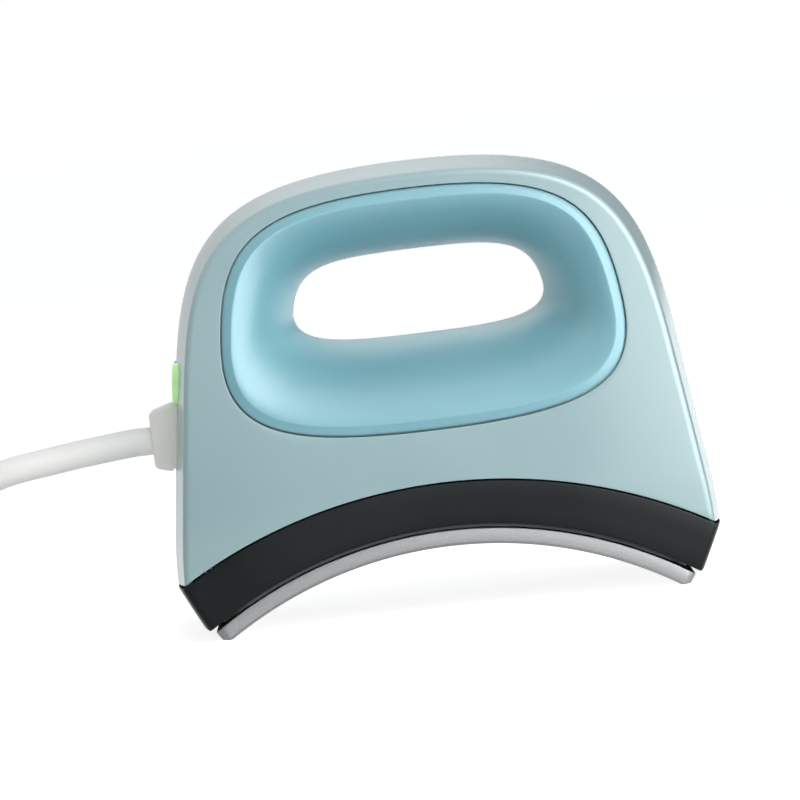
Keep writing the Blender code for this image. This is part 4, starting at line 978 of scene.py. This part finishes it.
def plug(neck):
    """A moulded plug: a waisted body with finger ribs, and a ribbed neck round the cord."""
    x, y, z = neck
    start = x + PLUG_NECK_LENGTH
    length, width, height = PLUG_BODY
    thing = block("plug_moulding", PLUG_BODY, (start + length / 2, y, z))
    edit(thing, "FACE", lambda f: f.normal.x < -0.9)
    bpy.ops.transform.resize(value=PLUG_WAIST, center_override=(start, y, z))
    bpy.ops.mesh.extrude_region_move(TRANSFORM_OT_translate={"value": (-PLUG_COLLAR, 0, 0)})
    bpy.ops.transform.resize(value=COLLAR_WAIST, center_override=(start, y, z))
    done()
    round_edges(thing, PLUG_ROUND, 6, 15)
    ribs = []
    for side in (-1, 1):
        for i in range(RIB_COUNT):
            out = width / 2 - RIB_SINK - RIB_FALL * (RIB_COUNT - 1 - i)
            place = (start + RIB_START + RIB_PITCH * i, y + side * out, z)
            rib = block("rib", RIB_SIZE, place)
            round_edges(rib, RIB_ROUND, 3, 30)
            ribs.append(rib)
    thin, thick = PLUG_NECK_RADII
    sleeve = cylinder(
        "sleeve", thin, PLUG_NECK_LENGTH + NECK_OVERLAP, neck, (1, 0, 0), tip=thick
    )
    rings = []
    for i in range(RIB_COUNT):
        place = (x + COLLAR_START + RIB_PITCH * i, y, z)
        radius = COLLAR_RADIUS + COLLAR_GROWTH * i
        ring = cylinder("ring", radius, COLLAR_WIDTH, place, (1, 0, 0))
        round_edges(ring, COLLAR_ROUND, 3, 50)
        rings.append(ring)
    join(thing, sleeve, *ribs, *rings)
    smooth(thing, 40)
    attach(thing, "press")
    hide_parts("plug_body")
    return thing


def strap():
    """A hook-and-loop strap wrapped round the coil's turns, with its end lapped over."""
    height = COIL_TOP + STRAP_THICKNESS + STRAP_PLAY
    length = STRAP_OUTSIDE - STRAP_INSIDE
    x = COIL_CENTRE[0] + (STRAP_OUTSIDE + STRAP_INSIDE) / 2
    y = COIL_CENTRE[1]
    z = height / 2 + STRAP_LIFT
    thing = block("coil_strap", (length + 2 * STRAP_THICKNESS, STRAP_WIDTH, height), (x, y, z))
    edit(thing, "FACE", lambda f: abs(f.normal.y) > 0.9)
    bpy.ops.mesh.inset(thickness=STRAP_THICKNESS)
    done()
    edit(thing, "FACE", lambda f: abs(f.normal.y) > 0.9 and f.calc_area() > STRAP_OPENING)
    bpy.ops.mesh.delete(type="FACE")
    done()
    edit(thing, "EDGE", lambda e: e.is_boundary)
    bpy.ops.mesh.bridge_edge_loops()
    bpy.ops.mesh.select_all(action="SELECT")
    bpy.ops.mesh.normals_make_consistent(inside=False)
    done()
    round_edges(thing, STRAP_ROUND, 2, 60)
    lap = block(
        "lap",
        (length * LAP_SHARE, STRAP_WIDTH - LAP_NARROWER, LAP_THICKNESS),
        (x - length * LAP_SHIFT, y, z + height / 2 + LAP_RISE),
    )
    round_edges(lap, LAP_ROUND, 2, 60)
    join(thing, lap)
    smooth(thing, 40)
    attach(thing, "press")
    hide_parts("cord_tie")
    return thing


# Shell screws


def screws():
    """Pan-head screws with a cross recess: the first is modelled and the rest are its copies."""
    head = cylinder("screw_head_1", HEAD_RADIUS, HEAD_HEIGHT, (0, 0, 0), (0, 1, 0))
    edit(head, "FACE", lambda f: f.normal.y > 0.9)
    bpy.ops.mesh.inset(thickness=HEAD_SLOPE)
    bpy.ops.transform.translate(value=(0, HEAD_CROWN, 0))
    done()
    round_edges(head, HEAD_ROUND, 3, 25)
    for size in (CROSS_SIZE, CROSS_SIZE[::-1]):
        cut_away(head, block("arm", size, (0, CROSS_HEIGHT, 0)))
    shank = cylinder("shank", SHANK_RADIUS, SHANK_LENGTH, (0, SHANK_OVERLAP, 0), (0, -1, 0), 24)
    join(head, shank)
    smooth(head)
    made = [head] + [copy_of(head, f"screw_head_{i}") for i in (2, 3, 4)]
    for i, (thing, (x, z)) in enumerate(zip(made, SHELL_SCREWS)):
        seat = half_depth(z * MM) - SCREW_SEAT_DEPTH + HEAD_LIFT
        thing.rotation_euler = (0, math.radians(SCREW_TURN * i), 0)
        thing.location = (x * MM, seat, z * MM)
        settle(thing)
        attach(thing, "press")
        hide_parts(f"shell_screw_{i + 1}")
    return made


# Finishes


def colour(code):
    """Linear RGBA of an sRGB hex code."""
    parts = [int(code[i : i + 2], 16) / 255 for i in (0, 2, 4)]
    linear = [c / 12.92 if c <= 0.04045 else ((c + 0.055) / 1.055) ** 2.4 for c in parts]
    return (*linear, 1)


def add_node(tree, kind, inputs=None, **settings):
    """Add a node with its settings, its values and what feeds it."""
    made = tree.nodes.new(kind)
    for name, value in settings.items():
        setattr(made, name, value)
    for socket, value in (inputs or {}).items():
        if isinstance(value, bpy.types.NodeSocket):
            tree.links.new(value, made.inputs[socket])
        else:
            made.inputs[socket].default_value = value
    return made


def new_finish(name, **values):
    """A material and its shader, whose sockets are named with underscores for spaces."""
    made = bpy.data.materials.new(name)
    made.use_nodes = True
    shader = made.node_tree.nodes["Principled BSDF"]
    for socket, value in values.items():
        shader.inputs[socket.replace("_", " ")].default_value = value
    return made, made.node_tree, shader


def noise(tree, place, size, detail):
    """A noise texture whose blotches have a size in millimetres."""
    inputs = {"Vector": place, "Scale": 1 / (size * MM), "Detail": detail}
    return add_node(tree, "ShaderNodeTexNoise", inputs).outputs["Fac"]


def ramp(tree, value, start, end, low, high, interpolation="LINEAR"):
    """A value that goes from low to high while another goes from start to end."""
    inputs = {"Value": value, "From Min": start, "From Max": end, "To Min": low, "To Max": high}
    made = add_node(tree, "ShaderNodeMapRange", inputs, interpolation_type=interpolation)
    return made.outputs["Result"]


def grainy(name, colours, size, roughness, relief=None, **values):
    """A finish that drifts between two colours, and in roughness, over a size.

    Roughness is its middle value and how far it drifts, and relief is its depth and the size of
    its grain. Sizes and depths are in millimetres.
    """
    made, tree, shader = new_finish(name, **values)
    place = add_node(tree, "ShaderNodeTexCoord").outputs["Object"]
    drift = noise(tree, place, size, 3.0)
    base, other = (colour(code) for code in colours)
    tint = add_node(tree, "ShaderNodeMix", {0: drift, 6: base, 7: other}, data_type="RGBA")
    tree.links.new(tint.outputs[2], shader.inputs["Base Color"])
    usual, spread = roughness
    polish = ramp(tree, drift, 0.3, 0.7, usual - spread, usual + spread)
    tree.links.new(polish, shader.inputs["Roughness"])
    if relief:
        depth, grain_size = relief
        grain = noise(tree, place, grain_size, 2.0)
        bump = add_node(tree, "ShaderNodeBump", {"Height": grain, "Distance": depth * MM})
        tree.links.new(bump.outputs["Normal"], shader.inputs["Normal"])
    return made


def paint(thing, finish):
    slots = thing.material_slots
    if slots:
        for slot in slots:
            slot.material = finish
    else:
        thing.data.materials.append(finish)


# Camera


def camera():
    """The photograph's view of the press."""
    made = bpy.data.objects.new("camera", bpy.data.cameras.new("camera"))
    bpy.context.scene.collection.objects.link(made)
    made.data.sensor_width = SENSOR_WIDTH
    made.data.lens = SENSOR_WIDTH / 2 / math.tan(VIEW_HALF_WIDTH)
    ahead = Vector((0, math.cos(VIEW_DOWN), -math.sin(VIEW_DOWN)))
    up = Vector((0, math.sin(VIEW_DOWN), math.cos(VIEW_DOWN)))
    right = Vector((1, 0, 0))
    across = math.cos(VIEW_ROLL) * right - math.sin(VIEW_ROLL) * up
    upward = math.sin(VIEW_ROLL) * right + math.cos(VIEW_ROLL) * up
    place = VIEW_MIDDLE - VIEW_DISTANCE * ahead
    turn = Matrix((across, upward, -ahead)).transposed().to_4x4()
    made.matrix_world = Matrix.Translation(place) @ turn
    made.data.clip_start, made.data.clip_end = VIEW_CLIP
    bpy.context.scene.camera = made


camera()
PATH, NECK = cord_route()
FLEX = cord(PATH)
BOOT = gland()
PLUG = plug(NECK)
STRAP = strap()

FRONT = shell("front_housing", -1)
REAR = shell("rear_housing", 1)
FRONT_LINING = grip("front_lining", -1)
REAR_LINING = grip("rear_lining", 1)
BAND = skirt()
CASTING = plate()
POWER = button("power_cap", -1, "power_key", "power_button")
START = button("start_cap", 1, "start_key", "start_button")
SCREWS = screws()

# ABS from a polished mould: glossy, and faintly uneven over a few centimetres
HOUSING_ABS = grainy(
    "polished_abs", ("86a0a4", "89a3a7"), 30, (0.25, 0.02), (0.003, 6), IOR=1.56
)
# Soft-touch elastomer: dull and fine-grained, paler at a glancing angle
LINING_TPE = grainy(
    "soft_touch_elastomer",
    ("75a6b0", "79a9b3"),
    20,
    (0.38, 0.03),
    (0.01, 0.35),
    IOR=1.52,
    Sheen_Weight=0.2,
    Sheen_Roughness=0.4,
    Subsurface_Weight=0.6,
    Subsurface_Radius=(0.6, 1.0, 1.0),
    Subsurface_Scale=2.5 * MM,
)
# Glass-filled nylon with a spark-eroded grain, drawn at 0.4 mm so that it shows
SKIRT_NYLON = grainy(
    "glass_filled_nylon", ("070a0c", "0b0e10"), 9, (0.45, 0.05), (0.012, 0.4), IOR=1.22
)
# Bead-blasted cast aluminium: a satin metal with specks of about half a millimetre
PLATE_ALUMINIUM = grainy(
    "blasted_aluminium", ("6a6b6c", "858687"), 0.5, (0.45, 0.06), (0.02, 0.4), Metallic=0.9
)
# Soft PVC of the boot: pale and matte
BOOT_PVC = grainy("boot_pvc", ("e2e2dc", "e6e6e0"), 12, (0.5, 0.04), (0.01, 0.5))
# Extruded PVC of the cord's jacket, and the plug moulded onto it: pale and satin
CORD_PVC = grainy("cord_pvc", ("e8e8e5", "ececea"), 15, (0.42, 0.04), (0.008, 0.8))
# Translucent polycarbonate, lit from behind: a smooth pale green that glows
LIT_POLYCARBONATE = grainy(
    "lit_polycarbonate",
    ("98c088", "a2c893"),
    6,
    (0.25, 0.03),
    Subsurface_Weight=0.2,
    Emission_Color=colour("9ed48c"),
    Emission_Strength=0.5,
)
# Zinc-plated steel with a fine turned grain: bright and cold
ZINC_STEEL = grainy(
    "zinc_plated_steel", ("b4b6b4", "c6c8c6"), 1.2, (0.3, 0.06), (0.003, 0.2), Metallic=1.0
)
# Drawn brass: warm and smooth
PIN_BRASS = grainy(
    "drawn_brass", ("c9ad6d", "d6bd82"), 3, (0.26, 0.05), (0.002, 0.3), Metallic=1.0
)
# Woven nylon: nearly black and dull, with the relief of its loops
STRAP_NYLON = grainy("woven_nylon", ("17181a", "232427"), 0.7, (0.85, 0.05), (0.12, 0.7))
# Fired steatite: cream and matte
STEATITE = grainy("steatite", ("e6e0d2", "efeadf"), 4, (0.6, 0.05), (0.01, 0.4))
# Pressed mica: brown flakes, some of which shine more than others
MICA = grainy("pressed_mica", ("a48f5f", "c4b183"), 3, (0.35, 0.1), (0.01, 1))
# Rolled steel sheet: grey and satin
SHEET_STEEL = grainy(
    "rolled_steel", ("9c9da0", "adaeb0"), 5, (0.35, 0.05), (0.002, 0.3), Metallic=1.0
)
# Needled glass felt: off-white, dull and fibrous
GLASS_FELT = grainy("glass_felt", ("e2ddd0", "f0ece2"), 2, (0.95, 0.03), (0.15, 0.8))
# Lacquered epoxy board: green and smooth
BOARD_RESIN = grainy("board_resin", ("1c5a35", "2a7347"), 4, (0.4, 0.05), (0.01, 1))
# Moulded case of the relay: blue and smooth
RELAY_CASE = grainy("relay_case", ("25599c", "2d64aa"), 8, (0.35, 0.04), (0.004, 0.6))
# Film shrunk round the capacitor: dark blue and glossy
SLEEVE_FILM = grainy("shrunk_film", ("1a2240", "222b4d"), 5, (0.3, 0.05), (0.01, 1))
# Pressed black resin: satin
BLACK_RESIN = grainy("black_resin", ("1b1d1f", "26282a"), 5, (0.5, 0.05), (0.006, 0.4))
# Extruded silicone of the inner leads: soft and satin
SILICONE = {
    tint: grainy(f"silicone_{tint}", colours, 4, (0.5, 0.05), (0.004, 0.5))
    for tint, colours in (
        ("brown", ("5a3420", "694029")),
        ("blue", ("2f5fa8", "3a6cb6")),
        ("green", ("5f9a35", "6ca841")),
        ("white", ("dcdcd8", "e6e6e2")),
    )
}

for thing in (FRONT, REAR):
    paint(thing, HOUSING_ABS)
for thing in (FRONT_LINING, REAR_LINING, START):
    paint(thing, LINING_TPE)
paint(BAND, SKIRT_NYLON)
paint(CASTING, PLATE_ALUMINIUM)
paint(BOOT, BOOT_PVC)
paint(FLEX, CORD_PVC)
paint(PLUG, CORD_PVC)
paint(POWER, LIT_POLYCARBONATE)
paint(STRAP, STRAP_NYLON)
for thing in SCREWS:
    paint(thing, ZINC_STEEL)

NODE_FINISHES = {
    "screw": ZINC_STEEL,
    "temperature_sensor": ZINC_STEEL,
    "plug_": PIN_BRASS,
    "plate_spacer": STEATITE,
    "thermal_cutout": STEATITE,
    "heating_element": MICA,
    "element_clamp": SHEET_STEEL,
    "heat_shield": SHEET_STEEL,
    "insulation_blanket": GLASS_FELT,
    "heater_lead": GLASS_FELT,
    "insulator_ring": BLACK_RESIN,
    "buzzer": BLACK_RESIN,
    "power_switch": BLACK_RESIN,
    "start_switch": BLACK_RESIN,
    "main_board": BOARD_RESIN,
    "button_board": BOARD_RESIN,
    "terminal_block": BOARD_RESIN,
    "relay": RELAY_CASE,
    "capacitor": SLEEVE_FILM,
    "live_lead": SILICONE["brown"],
    "cutout_lead": SILICONE["brown"],
    "neutral_lead": SILICONE["blue"],
    "earth_lead": SILICONE["green"],
    "sensor_lead": SILICONE["white"],
    "button_lead": SILICONE["white"],
}
for node_name, thing in NODES.items():
    for key, finish in NODE_FINISHES.items():
        if key in node_name and not thing.hide_render:
            paint(thing, finish)


# Floor and light


def parts_of(tree, kind):
    """The X, Y and Z of a texture coordinate."""
    place = add_node(tree, "ShaderNodeTexCoord").outputs[kind]
    return add_node(tree, "ShaderNodeSeparateXYZ", {"Vector": place}).outputs


def calculated(tree, operation, *values):
    made = add_node(tree, "ShaderNodeMath", dict(enumerate(values)), operation=operation)
    return made.outputs[0]


def chosen(tree, test, otherwise, value):
    """A value where a test holds, and otherwise another."""
    inputs = {0: test, 2: otherwise, 3: value}
    return add_node(tree, "ShaderNodeMix", inputs, data_type="FLOAT").outputs[0]


def lay_floor():
    """A floor that the camera sees white, with a pool of light that glossy faces mirror."""
    deselect()
    bpy.ops.mesh.primitive_plane_add(size=FLOOR_SIZE, location=(0, 0, -FLOOR_DROP))
    floor = take("floor")
    made = bpy.data.materials.new("floor_white")
    made.use_nodes = True
    tree = made.node_tree
    tree.nodes.clear()
    rays = add_node(tree, "ShaderNodeLightPath").outputs
    place = parts_of(tree, "Object")
    pool = ramp(tree, place["X"], *FLOOR_RIGHT)
    ahead = ramp(tree, place["Y"], *FLOOR_AHEAD)
    mirrored = calculated(tree, "MULTIPLY_ADD", pool, ahead, FLOOR_MIRRORED)
    unseen = chosen(tree, rays["Is Glossy Ray"], FLOOR_MATTE, mirrored)
    glow = chosen(tree, rays["Is Camera Ray"], unseen, FLOOR_WHITE)
    matte = add_node(tree, "ShaderNodeBsdfDiffuse", {"Color": colour("e8e8e8")})
    white = add_node(tree, "ShaderNodeEmission", {"Color": colour("ffffff"), "Strength": glow})
    lit = add_node(tree, "ShaderNodeAddShader", {0: matte.outputs[0], 1: white.outputs[0]})
    add_node(tree, "ShaderNodeOutputMaterial", {"Surface": lit.outputs[0]})
    floor.data.materials.append(made)


def sky():
    """A dim sky for matte light, and a room with a window that glossy faces mirror."""
    world = bpy.data.worlds.new("pale_sky")
    bpy.context.scene.world = world
    world.use_nodes = True
    tree = world.node_tree
    tree.nodes.clear()
    rays = add_node(tree, "ShaderNodeLightPath").outputs
    way = parts_of(tree, "Generated")
    room = ramp(tree, way["Y"], *ROOM_AHEAD, "SMOOTHSTEP")
    shade = ramp(tree, way["X"], *ROOM_RIGHT, "SMOOTHSTEP")
    window = ramp(tree, way["X"], *WINDOW_RIGHT, "SMOOTHSTEP")
    front = ramp(tree, way["Y"], *WINDOW_AHEAD, "SMOOTHSTEP")
    ceiling = ramp(tree, way["Z"], *CEILING, "SMOOTHSTEP")
    softbox = calculated(tree, "MULTIPLY_ADD", window, front, ceiling)
    reflected = calculated(tree, "MULTIPLY_ADD", room, shade, softbox)
    mirrored = chosen(tree, rays["Is Camera Ray"], reflected, 1.0)
    seen = calculated(tree, "MAXIMUM", rays["Is Camera Ray"], rays["Is Glossy Ray"])
    shown = calculated(tree, "MAXIMUM", seen, rays["Is Transmission Ray"])
    backgrounds = [
        add_node(tree, "ShaderNodeBackground", {"Color": colour(code), "Strength": strength})
        for code, strength in (("f4f8fb", SKY_MATTE), ("ffffff", mirrored))
    ]
    dim, bright = (made.outputs[0] for made in backgrounds)
    both = add_node(tree, "ShaderNodeMixShader", {0: shown, 1: dim, 2: bright})
    add_node(tree, "ShaderNodeOutputWorld", {"Surface": both.outputs[0]})


def lamp(name, place, aim, size, watts):
    """A soft lamp for matte light alone: what glossy faces mirror is the sky's own pattern."""
    data = bpy.data.lights.new(name, "AREA")
    data.shape = "RECTANGLE"
    data.size, data.size_y = size
    data.energy = watts
    made = bpy.data.objects.new(name, data)
    bpy.context.scene.collection.objects.link(made)
    made.location = place
    made.rotation_euler = (Vector(place) - Vector(aim)).to_track_quat("Z", "Y").to_euler()
    made.visible_camera = False
    made.visible_glossy = False


lay_floor()
sky()
for settings in LAMPS:
    lamp(*settings)
bpy.context.scene.view_settings.view_transform = "Standard"
